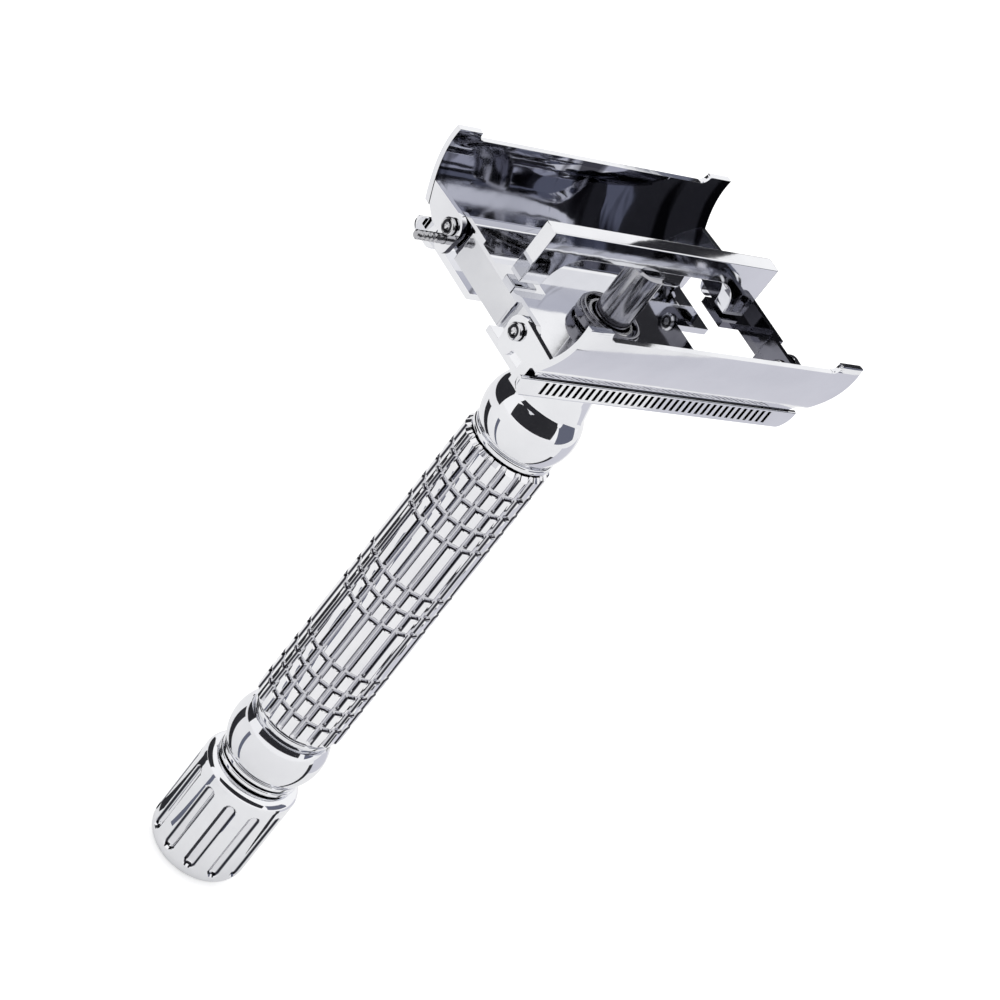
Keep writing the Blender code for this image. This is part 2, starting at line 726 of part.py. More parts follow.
def bracket_end_view():
    """The bracket seen from the end of the head, in (Y, Z), its wings rounded about the hinge axes."""
    top = FLOOR_Z + BRACKET_TOP_RISE
    foot = top - BRACKET_HEIGHT
    right = arc((HINGE_REACH, HINGE_Z), EAR_RADIUS, -70, 70, 8)
    left = [(-y, z) for y, z in reversed(right)]
    panel = BRACKET_PANEL / 2
    return [(-panel, foot), (panel, foot)] + right + [(panel, top), (-panel, top)] + left


def make_bracket(name, side):
    top = FLOOR_Z + BRACKET_TOP_RISE
    low = HINGE_Z - 2 * EAR_RADIUS
    high = HINGE_Z + 2 * EAR_RADIUS
    plan = plate(name, bracket_plan(side), low, high, Matrix.Identity(4))
    bracket = add_part(name, plan, 0.07)
    combine(bracket, "INTERSECT", plate("end_view", bracket_end_view(), -DOOR_LENGTH, DOOR_LENGTH, YZ_PLANE))
    half_width = TONGUE_WIDTH / 2
    tongue_top = BAR_FOOT_Z - GAP
    near, far = sorted((side * tongue_end(), side * (PANEL_INNER + ROOT_OVERLAP)))
    tongue = box("tongue", (near, -half_width, tongue_top - TONGUE_WALL), (far, half_width, tongue_top))
    combine(bracket, "UNION", tongue)
    bores = [cylinder("bore", RIVET_RADIUS + RUNNING, low, high)]
    bores[0] = moved(bores[0], Matrix.Translation((side * rivet_place(), 0.0, 0.0)))
    for way in (-1, 1):
        near, far = sorted((side * (WING_INNER - PAST), side * (WING_OUTER + PAST)))
        bores.append(across_head(cylinder("bore", PIN_RADIUS + RUNNING, near, far), way * HINGE_REACH, HINGE_Z))
    combine(bracket, "DIFFERENCE", joined("bores", bores))
    return bracket


def rivet_place():
    return BAR_END - BAR_LEG / 2


def across_head(mesh, y, z):
    """Lays a piece turned about Z along the head's X, through a point in (Y, Z)."""
    return moved(mesh, Matrix.Translation((0.0, y, z)) @ Matrix.Rotation(math.pi / 2, 4, "Y"))


def make_bar_rivet(name, side):
    top = BAR_FOOT_Z - GAP
    seat = top - TONGUE_WALL - RUNNING
    profile = [
        (0.0, top),
        (RIVET_RADIUS, top),
        (RIVET_RADIUS, seat),
        (RIVET_HEAD_RADIUS, seat),
        (RIVET_HEAD_RADIUS - HEAD_CROWN, seat - RIVET_HEAD),
        (0.0, seat - RIVET_HEAD),
    ]
    rivet = moved(turned(name, profile, PIN_STEPS), Matrix.Translation((side * rivet_place(), 0.0, 0.0)))
    return add_part(name, rivet)


def make_hinge_pin(name, side, way):
    """A pin riveted over at both ends, its outer head on the ear and its inner head on the wing."""
    outer = DOOR_END + RUNNING
    inner = WING_INNER - RUNNING
    profile = [
        (0.0, outer + PIN_HEAD),
        (PIN_HEAD_RADIUS - HEAD_CROWN, outer + PIN_HEAD),
        (PIN_HEAD_RADIUS, outer + PIN_HEAD - HEAD_CROWN),
        (PIN_HEAD_RADIUS, outer),
        (PIN_RADIUS, outer),
        (PIN_RADIUS, inner),
        (PIN_HEAD_RADIUS, inner),
        (PIN_HEAD_RADIUS - HEAD_CROWN, inner - PIN_HEAD),
        (0.0, inner - PIN_HEAD),
    ]
    pin = across_head(turned(name, profile, PIN_STEPS), 0.0, 0.0)
    if side < 0:
        pin = moved(pin, Matrix.Rotation(math.pi, 4, "Z"))
    return add_part(name, moved(pin, Matrix.Translation((0.0, way * HINGE_REACH, HINGE_Z))))


def make_carrier():
    parts = [make_push_rod(), make_center_bar()]
    for side, hand in ((-1, "left"), (1, "right")):
        parts.append(make_bracket("end_bracket_" + hand, side))
        parts.append(make_bar_rivet("bar_rivet_" + hand, side))
        for way, place in ((-1, "front"), (1, "back")):
            parts.append(make_hinge_pin("hinge_pin_" + place + "_" + hand, side, way))
    return parts


# ---------------------------------------------------------------- doors

def door_panel_outline():
    """The door's curved wall in section, one wall thick, on the +Y side."""
    outer = door_outer()
    return outer + list(reversed(offset(outer, -DOOR_WALL)))


def ear_outline():
    """The ear in (Y, Z) on the +Y side: hinge eye, lobe below it and the arm out to the door's wall."""
    eye = (HINGE_REACH, HINGE_Z)
    lobe = (HINGE_REACH - LOBE_SHIFT, HINGE_Z - LOBE_REACH)
    middle = offset(door_outer(), -DOOR_WALL / 2)
    rim = [point for point in middle if HINGE_Z + SKIRT_TOP + WALL_LAP < point[1] < HINGE_Z + ARM_TOP]
    heel = (rim[-1][0] - EAR_WALL, HINGE_Z + SKIRT_TOP + EAR_STEP)
    low_edge = [heel, (eye[0] + ARM_TURN, eye[1] + ARM_LOW), (eye[0] + ARM_START, eye[1] + ARM_LOW)]
    return rim + low_edge + arc(lobe, LOBE_RADIUS, 0, -180, 6) + arc(eye, EAR_RADIUS, 200, 80, 8)


def mirrored(outline, way):
    return [(way * y, z) for y, z in outline]


def make_door(name, way):
    panel = mirrored(door_panel_outline(), way)
    door = add_part(name, plate(name, panel, -DOOR_END, DOOR_END, YZ_PLANE), 0.06)
    free_z = HINGE_Z + DOOR_CURVE[0][1]
    reach = HINGE_REACH + DOOR_CURVE[0][0] + PAST
    recess = DOOR_END - TAB_LENGTH
    near, far = sorted((0.0, way * reach))
    skirt_foot = HINGE_Z + DOOR_CURVE[-1][1] - PAST
    cuts = [box("recess", (-recess, near, free_z - RECESS_DEPTH), (recess, far, free_z + PAST))]
    for side in (-1, 1):
        inner, outer = sorted((side * (DOOR_END - SKIRT_INSET), side * (DOOR_END + PAST)))
        cuts.append(box("skirt_end", (inner, near, skirt_foot), (outer, far, HINGE_Z + SKIRT_TOP)))
    combine(door, "DIFFERENCE", joined("door_cuts", cuts))
    for side in (-1, 1):
        low, high = sorted((side * EAR_INNER, side * EAR_OUTER))
        combine(door, "UNION", plate("ear", mirrored(ear_outline(), way), low, high, YZ_PLANE))
    bores = [across_head(cylinder("bore", PIN_RADIUS + RUNNING, -DOOR_LENGTH, DOOR_LENGTH),
                         way * HINGE_REACH, HINGE_Z)]
    if way > 0:
        stub = cylinder("stub_bore", STUB_RADIUS + RUNNING, -DOOR_LENGTH, 0.0)
        bores.append(across_head(stub, HINGE_REACH + STUB_PLACE[0], HINGE_Z + STUB_PLACE[1]))
    combine(door, "DIFFERENCE", joined("door_bores", bores))
    return door


def make_stub_pin():
    """The grooved stub pin that stands out of the back door's left ear."""
    inner = STUB_RADIUS - STUB_RING_DEPTH
    foot = -EAR_WALL
    profile = [(0.0, STUB_LENGTH), (STUB_RADIUS - STUB_EDGE, STUB_LENGTH)]
    profile += [(STUB_RADIUS, STUB_LENGTH - STUB_EDGE)]
    for ring in range(STUB_RINGS):
        top = STUB_LENGTH - STUB_RING_MARGIN - ring * STUB_RING_PITCH
        end = top - STUB_RING_WIDTH
        profile += [(STUB_RADIUS, top), (inner, top - STUB_RING_SLOPE)]
        profile += [(inner, end + STUB_RING_SLOPE), (STUB_RADIUS, end)]
    profile += [(STUB_RADIUS, foot), (0.0, foot)]
    pin = across_head(turned("ear_stub_pin", profile, PIN_STEPS), 0.0, 0.0)
    turn = Matrix.Rotation(math.pi, 4, "Z")
    place = (-DOOR_END, HINGE_REACH + STUB_PLACE[0], HINGE_Z + STUB_PLACE[1])
    return add_part("ear_stub_pin", moved(pin, Matrix.Translation(place) @ turn), 0.15)


# ---------------------------------------------------------------- assembly

make_handle()
make_guard()
make_head_nut()
hang_on(make_drive(), "knob_axis", (0.0, 0.0, 0.0))
hang_on(make_carrier(), "carrier_axis", (0.0, 0.0, FLOOR_Z))
hang_on([make_door("door_front", -1)], "front_hinge", (0.0, -HINGE_REACH, HINGE_Z))
hang_on([make_door("door_back", 1), make_stub_pin()], "back_hinge", (0.0, HINGE_REACH, HINGE_Z))
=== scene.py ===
"""Twist-to-open safety razor, chrome plated, standing open on its knob in a white studio."""

import math

import bmesh
import bpy
from mathutils import Matrix, Vector


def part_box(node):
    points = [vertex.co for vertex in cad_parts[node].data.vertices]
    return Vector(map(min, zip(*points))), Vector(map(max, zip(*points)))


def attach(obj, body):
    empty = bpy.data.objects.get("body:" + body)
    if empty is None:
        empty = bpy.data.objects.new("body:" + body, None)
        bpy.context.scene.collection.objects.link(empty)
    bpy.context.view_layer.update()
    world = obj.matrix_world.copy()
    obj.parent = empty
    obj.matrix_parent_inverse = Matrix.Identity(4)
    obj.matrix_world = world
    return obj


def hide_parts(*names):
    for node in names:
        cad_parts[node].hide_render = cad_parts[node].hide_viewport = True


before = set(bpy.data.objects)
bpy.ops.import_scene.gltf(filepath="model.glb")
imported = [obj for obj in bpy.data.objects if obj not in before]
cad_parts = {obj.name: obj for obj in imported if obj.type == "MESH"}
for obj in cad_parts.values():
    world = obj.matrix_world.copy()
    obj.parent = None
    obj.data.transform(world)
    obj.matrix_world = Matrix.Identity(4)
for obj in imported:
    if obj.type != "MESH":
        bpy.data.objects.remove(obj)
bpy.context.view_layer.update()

MM = 0.001
scene = bpy.context.scene


# ---- Core of the handle --------------------------------------------------------------------------
# A steel tube carries the ferrules and the grip, and its end stands in the guard. A brass spindle
# turns in a brass bush at the tube's foot, held by a spring ring, and screws into the push rod.

def add_node(tree, kind, inputs=None, **settings):
    """A node with its settings made, and its inputs set to a value or linked to another socket."""
    made = tree.nodes.new(kind)
    for name, value in settings.items():
        setattr(made, name, value)
    for name, value in (inputs or {}).items():
        if isinstance(value, bpy.types.NodeSocket):
            tree.links.new(value, made.inputs[name])
        else:
            made.inputs[name].default_value = value
    return made


def calculate(tree, operation, *values):
    """A Math node on numbers or sockets; returns its result."""
    return add_node(tree, "ShaderNodeMath", dict(enumerate(values)), operation=operation).outputs[0]


def new_group(name, kind, inputs, outputs):
    """An empty node group with named inputs, given as (socket type, default), and outputs."""
    group = bpy.data.node_groups.new(name, kind)
    for label, (socket_type, default) in inputs.items():
        socket = group.interface.new_socket(label, in_out="INPUT", socket_type="NodeSocket" + socket_type)
        if default is not None:
            socket.default_value = default
    for label, socket_type in outputs.items():
        group.interface.new_socket(label, in_out="OUTPUT", socket_type="NodeSocket" + socket_type)
    return group, group.nodes.new("NodeGroupInput").outputs, group.nodes.new("NodeGroupOutput").inputs


def new_milling(name, inputs):
    """An empty Geometry Nodes group that takes a shape, these inputs and a material, and gives a shape."""
    inputs = {"Geometry": ("Geometry", None), **inputs, "Material": ("Material", None)}
    return new_group(name, "GeometryNodeTree", inputs, {"Geometry": "Geometry"})


def vector(tree, **parts):
    """A vector put together from its X, Y and Z; what isn't given is 0."""
    return add_node(tree, "ShaderNodeCombineXYZ", parts).outputs[0]


def length_of(tree, a, b):
    """The length of a line that runs a one way and b square to it."""
    squares = [calculate(tree, "MULTIPLY", part, part) for part in (a, b)]
    return calculate(tree, "SQRT", calculate(tree, "ADD", *squares))


def ramp(tree, value, low, high, start=0.0, end=1.0):
    """Goes from start to end while a value goes from low to high, and no further."""
    return add_node(tree, "ShaderNodeMapRange", {
        "Value": value, "From Min": low, "From Max": high, "To Min": start, "To Max": end,
    }).outputs["Result"]


def noise(tree, place, scale, detail, distortion=0.0):
    """Smooth noise from 0 to 1."""
    return add_node(tree, "ShaderNodeTexNoise", {
        "Vector": place, "Scale": scale, "Detail": detail, "Distortion": distortion,
    }).outputs["Fac"]


def own_place(tree):
    """Where a shaded point is in its piece's own coordinates."""
    return add_node(tree, "ShaderNodeTexCoord").outputs["Object"]


def own_axes(tree):
    """X, Y and Z of a shaded point in its piece's own coordinates."""
    return add_node(tree, "ShaderNodeSeparateXYZ", {0: own_place(tree)}).outputs


def blend_colors(tree, share, first, second):
    """A mix of two colours, each a socket or red, green and blue."""
    given = [color if isinstance(color, bpy.types.NodeSocket) else (*color, 1.0) for color in (first, second)]
    return add_node(tree, "ShaderNodeMix", {0: share, 6: given[0], 7: given[1]}, data_type="RGBA").outputs[2]


def make_handling_marks():
    """Wiping scratches that run one way, and a faint haze where fingers have been."""
    tree, given, out = new_group("handling_marks", "ShaderNodeTree", {
        "Tint": ("Color", (0.8, 0.8, 0.8, 1.0)),
        "Hazed Tint": ("Color", (0.7, 0.7, 0.7, 1.0)),
        "Roughness": ("Float", 0.04),
        "Haze": ("Float", 0.04),
        "Haze Scale": ("Float", 90.0),
        "Scratch Direction": ("Vector", (1.0, 1.0, 0.04)),
        "Scratch Scale": ("Float", 2600.0),
    }, {"Color": "Color", "Roughness": "Float", "Height": "Float"})
    place = own_place(tree)
    patch = ramp(tree, noise(tree, place, given["Haze Scale"], 4.0), 0.42, 0.72)
    stretched = add_node(tree, "ShaderNodeVectorMath", {0: place, 1: given["Scratch Direction"]},
                         operation="MULTIPLY").outputs["Vector"]
    tree.links.new(blend_colors(tree, patch, given["Tint"], given["Hazed Tint"]), out["Color"])
    duller = calculate(tree, "MULTIPLY_ADD", patch, given["Haze"], given["Roughness"])
    tree.links.new(duller, out["Roughness"])
    tree.links.new(noise(tree, stretched, given["Scratch Scale"], 2.0), out["Height"])
    return tree


def make_lathe_marks():
    """Fine rings left by turning, the same all round the upright axis."""
    tree, given, out = new_group("lathe_marks", "ShaderNodeTree",
                                 {"Scale": ("Float", 9000.0)}, {"Height": "Float"})
    axes = own_axes(tree)
    ring = vector(tree, X=length_of(tree, axes["X"], axes["Y"]), Z=axes["Z"])
    tree.links.new(noise(tree, ring, given["Scale"], 3.0), out["Height"])
    return tree


def tint_where(metal, mask, tint):
    """Takes a metal's colour over to another where a mask is 1."""
    base = metal.node_tree.nodes["Principled BSDF"].inputs["Base Color"]
    metal.node_tree.links.new(blend_colors(metal.node_tree, mask, base.links[0].from_socket, tint), base)


def make_metal(name, tint, hazed, roughness, haze, turned_depth=0.0, scratch_depth=0.0, waviness=0.0):
    """A metal with handling marks, and turning rings or a slight waviness where it has them."""
    metal = bpy.data.materials.new(name)
    metal.use_nodes = True
    tree = metal.node_tree
    shader = tree.nodes["Principled BSDF"]
    shader.inputs["Metallic"].default_value = 1.0
    worn = add_node(tree, "ShaderNodeGroup", {
        "Tint": (*tint, 1.0), "Hazed Tint": (*hazed, 1.0), "Roughness": roughness, "Haze": haze,
    }, node_tree=handling_marks)
    tree.links.new(worn.outputs["Color"], shader.inputs["Base Color"])
    tree.links.new(worn.outputs["Roughness"], shader.inputs["Roughness"])
    heights = [(scratch_depth, worn.outputs["Height"])]
    if turned_depth:
        rings = add_node(tree, "ShaderNodeGroup", node_tree=lathe_marks)
        heights.append((turned_depth, rings.outputs["Height"]))
    if waviness:
        heights.append((waviness, noise(tree, own_place(tree), 420.0, 1.0)))
    bump = None
    for depth, height in heights:
        under = {"Normal": bump.outputs[0]} if bump else {}
        bump = add_node(tree, "ShaderNodeBump", {"Strength": 1.0, "Distance": depth, "Height": height, **under})
    tree.links.new(bump.outputs[0], shader.inputs["Normal"])
    return metal


handling_marks = make_handling_marks()
lathe_marks = make_lathe_marks()
turned_steel = make_metal("turned_steel", (0.55, 0.55, 0.57), (0.44, 0.44, 0.46),
                          0.16, 0.10, turned_depth=0.004 * MM)
turned_brass = make_metal("turned_brass", (0.78, 0.60, 0.32), (0.62, 0.46, 0.24),
                          0.20, 0.12, turned_depth=0.005 * MM)


def wear(node, metal):
    """Gives a CAD node that is shown as it is its finish."""
    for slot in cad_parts[node].material_slots:
        slot.material = metal


for node in ("core_tube", "retaining_ring"):
    wear(node, turned_steel)
for node in ("drive_screw", "spindle_bush"):
    wear(node, turned_brass)


# ---- Twist knob ----------------------------------------------------------------------------------
# A solid brass barrel turned with a round foot, with twelve round-ended flutes milled down its side
# for grip, then polished and chrome plated. It is bored out above for the spindle.

knob_low, knob_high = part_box("twist_knob")
knob_radius = knob_high.x
knob_bore = 1.6 * MM
knob_bore_depth = 9.0 * MM
knob_bore_edge = 0.2 * MM
knob_foot_round = 2.5 * MM
knob_shoulder_round = 1.3 * MM
flute_count = 12
flute_half_width = 0.80 * MM
flute_depth = 0.56 * MM
flute_end_margin = 2.3 * MM
flute_bowl = 2.6      # 2 mills a round bottom, more a flatter one

chrome_tint = (0.85, 0.855, 0.88)
chrome_hazed = (0.75, 0.755, 0.785)


def make_chrome(name, roughness=0.035, haze=0.05, waviness=0.006 * MM):
    """The razor's bright chrome: barely scratched, and wavy by a few thousandths of a millimetre."""
    return make_metal(name, chrome_tint, chrome_hazed, roughness, haze,
                      scratch_depth=0.00025 * MM, waviness=waviness)


handle_chrome = make_chrome("handle_chrome", 0.025, 0.035, 0.004 * MM)


def rounded(corners, steps=4):
    """A line through (x, y, fillet) corners, each rounded by its fillet's radius where it has one."""
    points = []
    for index, (x, y, fillet) in enumerate(corners):
        here = Vector((x, y))
        if not fillet:
            points.append(here)
            continue
        back = (Vector(corners[index - 1][:2]) - here).normalized()
        on = (Vector(corners[(index + 1) % len(corners)][:2]) - here).normalized()
        half = back.angle(on) / 2
        centre = here + (back + on).normalized() * fillet / math.sin(half)
        first = here + back * fillet / math.tan(half) - centre
        last = here + on * fillet / math.tan(half) - centre
        sweep = math.pi - 2 * half
        for step in range(steps + 1):
            angle = sweep * step / steps
            weight = math.sin(sweep)
            direction = (first * math.sin(sweep - angle) + last * math.sin(angle)) / weight
            points.append(centre + direction)
    return points


def arc(centre, radius, start, end, steps):
    """Points along an arc, its angles in degrees, with both ends."""
    angles = [math.radians(start + (end - start) * step / steps) for step in range(steps + 1)]
    return [Vector((centre[0] + radius * math.cos(a), centre[1] + radius * math.sin(a))) for a in angles]


def lathe(profile, steps=128, closed=True):
    """A bmesh turned about Z from (radius, height) points; radius 0 closes it with a pole."""
    shape = bmesh.new()
    rings = []
    for radius, height in profile:
        if radius < 1e-7:
            rings.append([shape.verts.new((0.0, 0.0, height))] * steps)
            continue
        turns = [2 * math.pi * step / steps for step in range(steps)]
        rings.append([shape.verts.new((radius * math.cos(a), radius * math.sin(a), height)) for a in turns])
    following = rings[1:] + ([rings[0]] if closed else [])
    for ring, after in zip(rings, following):
        for index in range(steps):
            across = (index + 1) % steps
            corners = list(dict.fromkeys((ring[index], ring[across], after[across], after[index])))
            if len(corners) > 2:
                shape.faces.new(corners)
    bmesh.ops.recalc_face_normals(shape, faces=shape.faces)
    return shape


def as_object(name, shape, metal=None, sharp=32):
    """An object at the origin from a bmesh or a mesh, shaded smooth up to its sharp edges."""
    mesh = shape
    if isinstance(shape, bmesh.types.BMesh):
        mesh = bpy.data.meshes.new(name)
        shape.to_mesh(mesh)
        shape.free()
    mesh.shade_smooth()
    mesh.set_sharp_from_angle(angle=math.radians(sharp))
    if metal:
        mesh.materials.clear()
        mesh.materials.append(metal)
    piece = bpy.data.objects.new(name, mesh)
    scene.collection.objects.link(piece)
    return piece


def keep_result(piece, sharp=32):
    """Turns a piece into what its modifiers make of it, as a plain mesh, shaded smooth if it is to be."""
    bpy.context.view_layer.update()
    graph = bpy.context.evaluated_depsgraph_get()
    mesh = bpy.data.meshes.new_from_object(piece.evaluated_get(graph))
    piece.modifiers.clear()
    piece.data = mesh
    if sharp:
        mesh.shade_smooth()
        mesh.set_sharp_from_angle(angle=math.radians(sharp))


def grow(piece, tree, metal, values, sharp=32):
    """Runs a Geometry Nodes tree on a piece with its named inputs set, and keeps the result."""
    modifier = piece.modifiers.new(tree.name, "NODES")
    modifier.node_group = tree
    for item in tree.interface.items_tree:
        if item.in_out == "INPUT" and item.name in values:
            modifier[item.identifier] = values[item.name]
        if item.in_out == "INPUT" and item.name == "Material":
            modifier[item.identifier] = metal
    keep_result(piece, sharp)


def fit_piece(piece, body, slot, *nodes):
    """Seats a finished piece: the body it rides on and the CAD nodes it stands for. Its finish's slot is not used.
    """
    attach(piece, body)
    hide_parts(*nodes)


def end_tree(tree, given, out, geometry):
    """Realizes what a tree made, gives it the material that went in and puts it out."""
    real = add_node(tree, "GeometryNodeRealizeInstances", {0: geometry}).outputs[0]
    done = add_node(tree, "GeometryNodeSetMaterial", {"Geometry": real, "Material": given["Material"]})
    tree.links.new(done.outputs[0], out["Geometry"])
    return tree


def polar(tree):
    """Position, distance from the upright axis and angle about it, as sockets."""
    position = add_node(tree, "GeometryNodeInputPosition").outputs[0]
    axes = add_node(tree, "ShaderNodeSeparateXYZ", {0: position}).outputs
    return axes, length_of(tree, axes["X"], axes["Y"]), calculate(tree, "ARCTAN2", axes["Y"], axes["X"])


def phase(tree, angle, count, shift):
    """How far an angle is from the nearest of count even turns, as a signed share of one turn's pitch."""
    share = calculate(tree, "DIVIDE", calculate(tree, "MULTIPLY", angle, count), 2 * math.pi)
    turns = calculate(tree, "ADD", share, shift)
    return calculate(tree, "SUBTRACT", turns, calculate(tree, "ROUND", turns))


def sink(tree, given, out, axes, reach, inset, least):
    """Moves points farther out than least towards the upright axis by their inset, and ends the tree."""
    shrink = calculate(tree, "SUBTRACT", 1.0, calculate(tree, "DIVIDE", inset, reach))
    moved = {axis: calculate(tree, "MULTIPLY", axes[axis], shrink) for axis in "XY"}
    chosen = calculate(tree, "GREATER_THAN", reach, least)
    sunk = add_node(tree, "GeometryNodeSetPosition", {
        "Geometry": given["Geometry"], "Selection": chosen, "Position": vector(tree, **moved, Z=axes["Z"]),
    })
    return end_tree(tree, given, out, sunk.outputs[0])


def make_flutes():
    """Mills round-ended flutes down the side of a turned barrel."""
    tree, given, out = new_milling("flutes", {
        "Count": ("Int", 12),
        "Half Width": ("Float", 0.001),
        "Depth": ("Float", 0.001),
        "Low": ("Float", 0.0),
        "High": ("Float", 0.01),
        "Barrel Radius": ("Float", 0.01),
    })
    axes, reach, angle = polar(tree)
    share = phase(tree, angle, given["Count"], 0.5)
    around = calculate(tree, "MULTIPLY", given["Barrel Radius"], 2 * math.pi)
    pitch = calculate(tree, "DIVIDE", around, given["Count"])
    aside = calculate(tree, "MULTIPLY", share, pitch)
    below = calculate(tree, "SUBTRACT", given["Low"], axes["Z"])
    above = calculate(tree, "SUBTRACT", axes["Z"], given["High"])
    past_end = calculate(tree, "MAXIMUM", calculate(tree, "MAXIMUM", below, above), 0.0)
    away = calculate(tree, "DIVIDE", length_of(tree, aside, past_end), given["Half Width"])
    bowl = calculate(tree, "SUBTRACT", 1.0, calculate(tree, "POWER", away, flute_bowl))
    inset = calculate(tree, "MULTIPLY", calculate(tree, "MAXIMUM", bowl, 0.0), given["Depth"])
    return sink(tree, given, out, axes, reach, inset, calculate(tree, "MULTIPLY", given["Barrel Radius"], 0.9))


# The painted black shade on a cut's wall is centred on this share of the cut's depth, solid this far from it and
# gone at that.
wall_middle = 0.42
wall_solid = 0.16
wall_gone = 0.32


def paint_cut_shade(metal, low, high, foot_radius, top_radius, floor_shade_tint, wall_shade_tint, depth):
    """Paints shade into milled cuts by how far they lie under the turned surface: painted black walls and painted
    darker floors, and rougher floors.
    """
    tree = metal.node_tree
    axes = own_axes(tree)
    reach = length_of(tree, axes["X"], axes["Y"])
    surface = ramp(tree, axes["Z"], low, high, foot_radius, top_radius)
    sunk = calculate(tree, "DIVIDE", calculate(tree, "SUBTRACT", surface, reach), depth)
    floor = ramp(tree, sunk, 0.5, 0.85)
    away = calculate(tree, "ABSOLUTE", calculate(tree, "SUBTRACT", sunk, wall_middle))
    wall = ramp(tree, away, wall_solid, wall_gone, 1.0, 0.0)
    inside = calculate(tree, "GREATER_THAN", axes["Z"], low)
    within = calculate(tree, "MULTIPLY", inside, calculate(tree, "LESS_THAN", axes["Z"], high))
    tint_where(metal, calculate(tree, "MULTIPLY", floor, within), floor_shade_tint)
    tint_where(metal, calculate(tree, "MULTIPLY", wall, within), wall_shade_tint)
    roughness = tree.nodes["Principled BSDF"].inputs["Roughness"]
    duller = calculate(tree, "MULTIPLY_ADD", floor, 0.06, roughness.links[0].from_socket)
    tree.links.new(duller, roughness)


# Painted shade: black walls and slightly darker floors are painted into the knob's flutes.
knob_chrome = make_chrome("knob_chrome", 0.025, 0.035)
paint_cut_shade(knob_chrome, knob_low.z + knob_foot_round, knob_high.z - knob_shoulder_round,
            knob_radius, knob_radius, (0.80, 0.80, 0.83), (0.03, 0.03, 0.04), flute_depth)
flutes = make_flutes()

knob_rows = 90
side_low = knob_low.z + knob_foot_round
side_high = knob_high.z - knob_shoulder_round
knob_side = [(knob_radius, side_high - (side_high - side_low) * row / knob_rows) for row in range(1, knob_rows)]
knob_profile = [(0.0, knob_high.z - knob_bore_depth), (knob_bore, knob_high.z - knob_bore_depth)]
knob_profile += [(knob_bore, knob_high.z - knob_bore_edge), (knob_bore + knob_bore_edge, knob_high.z)]
knob_profile += arc((knob_radius - knob_shoulder_round, side_high), knob_shoulder_round, 90, 0, 10)
knob_profile += knob_side
knob_profile += arc((knob_radius - knob_foot_round, side_low), knob_foot_round, 0, -90, 16)
knob_profile += [(0.6 * knob_radius * share / 4, knob_low.z) for share in range(3, -1, -1)]

barrel = as_object("knob_barrel", lathe(knob_profile, steps=336, closed=False))
grow(barrel, flutes, knob_chrome, {
    "Count": flute_count,
    "Half Width": flute_half_width,
    "Depth": flute_depth,
    "Low": knob_low.z + flute_end_margin + flute_half_width,
    "High": knob_high.z - flute_end_margin - flute_half_width,
    "Barrel Radius": knob_radius,
})
fit_piece(barrel, "knob", "chrome_handle", "twist_knob")


# ---- Collar and washer ---------------------------------------------------------------------------
# Two thin plated rings between the knob and the lower ball: the collar turns with the knob, and the
# thrust washer under the ball stays with the handle.

def ring_profile(low, high, bore, edge):
    """A washer's section with its outer edges rounded, from its box."""
    return rounded([(bore, high.z, 0.0), (high.x, high.z, edge), (high.x, low.z, edge), (bore, low.z, 0.0)], 5)


spindle_bore = 1.6 * MM
for name, node, body in (("collar_ring", "knob_collar", "knob"), ("washer_ring", "thrust_washer", "handle")):
    ring_low, ring_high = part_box(node)
    ring = as_object(name, lathe(ring_profile(ring_low, ring_high, spindle_bore, 0.22 * MM), steps=160),
                     handle_chrome)
    fit_piece(ring, body, "chrome_handle", node)


# ---- Ferrules ------------------------------------------------------------------------------------
# Two turned brass ferrules close the grip. The lower one is a ball between the washer and a lip, the
# upper one a lip, a ball and the waisted neck under the guard, all in one piece and mirror bright.

sleeve_bore = 3.3 * MM
lip_thickness = 0.80 * MM
lip_groove = 0.35 * MM
lip_radius = 5.25 * MM
groove_radius = 4.80 * MM
lip_edge = 0.28 * MM


def ball_points(radius, middle, above, below, steps):
    """The side of a ball cut flat above and below its middle, from the top down."""
    top = math.degrees(math.asin(above / radius))
    foot = math.degrees(math.asin(below / radius))
    return arc((0.0, middle), radius, top, -foot, steps)


end_low, end_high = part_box("end_ferrule")
lower_reach = 3.0 * MM
lower_radius = end_high.x
lower_lip = rounded([
    (sleeve_bore, end_high.z, 0.0),
    (lip_radius, end_high.z, lip_edge),
    (lip_radius, end_high.z - lip_thickness, lip_edge),
    (groove_radius, end_high.z - lip_thickness, 0.08 * MM),
    (groove_radius, end_high.z - lip_thickness - lip_groove, 0.0),
], 5)
lower_ball = ball_points(lower_radius, end_low.z + lower_reach, lower_reach, lower_reach, 40)
end_ball = as_object("end_ball", lathe(lower_lip + lower_ball + [(sleeve_bore, end_low.z)], steps=192),
                     handle_chrome)
fit_piece(end_ball, "handle", "chrome_handle", "end_ferrule")

neck_low, neck_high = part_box("neck_ferrule")
upper_reach = 2.8 * MM
upper_cut = 3.2 * MM
upper_radius = neck_high.x
upper_middle = neck_low.z + lip_thickness + lip_groove + upper_reach
neck_top_radius = 4.40 * MM
neck_waist_radius = 3.75 * MM
shoulder_radius = math.sqrt(upper_radius ** 2 - upper_cut ** 2)
neck_curve = (
    Vector((neck_top_radius, neck_high.z)),
    Vector((neck_waist_radius, neck_high.z - 1.5 * MM)),
    Vector((neck_waist_radius, neck_high.z - 4.5 * MM)),
    Vector((shoulder_radius, upper_middle + upper_cut)),
)


def bezier_point(controls, t):
    s = 1.0 - t
    weights = (s ** 3, 3 * s * s * t, 3 * s * t * t, t ** 3)
    return sum((point * weight for weight, point in zip(weights, controls)), Vector((0.0, 0.0)))


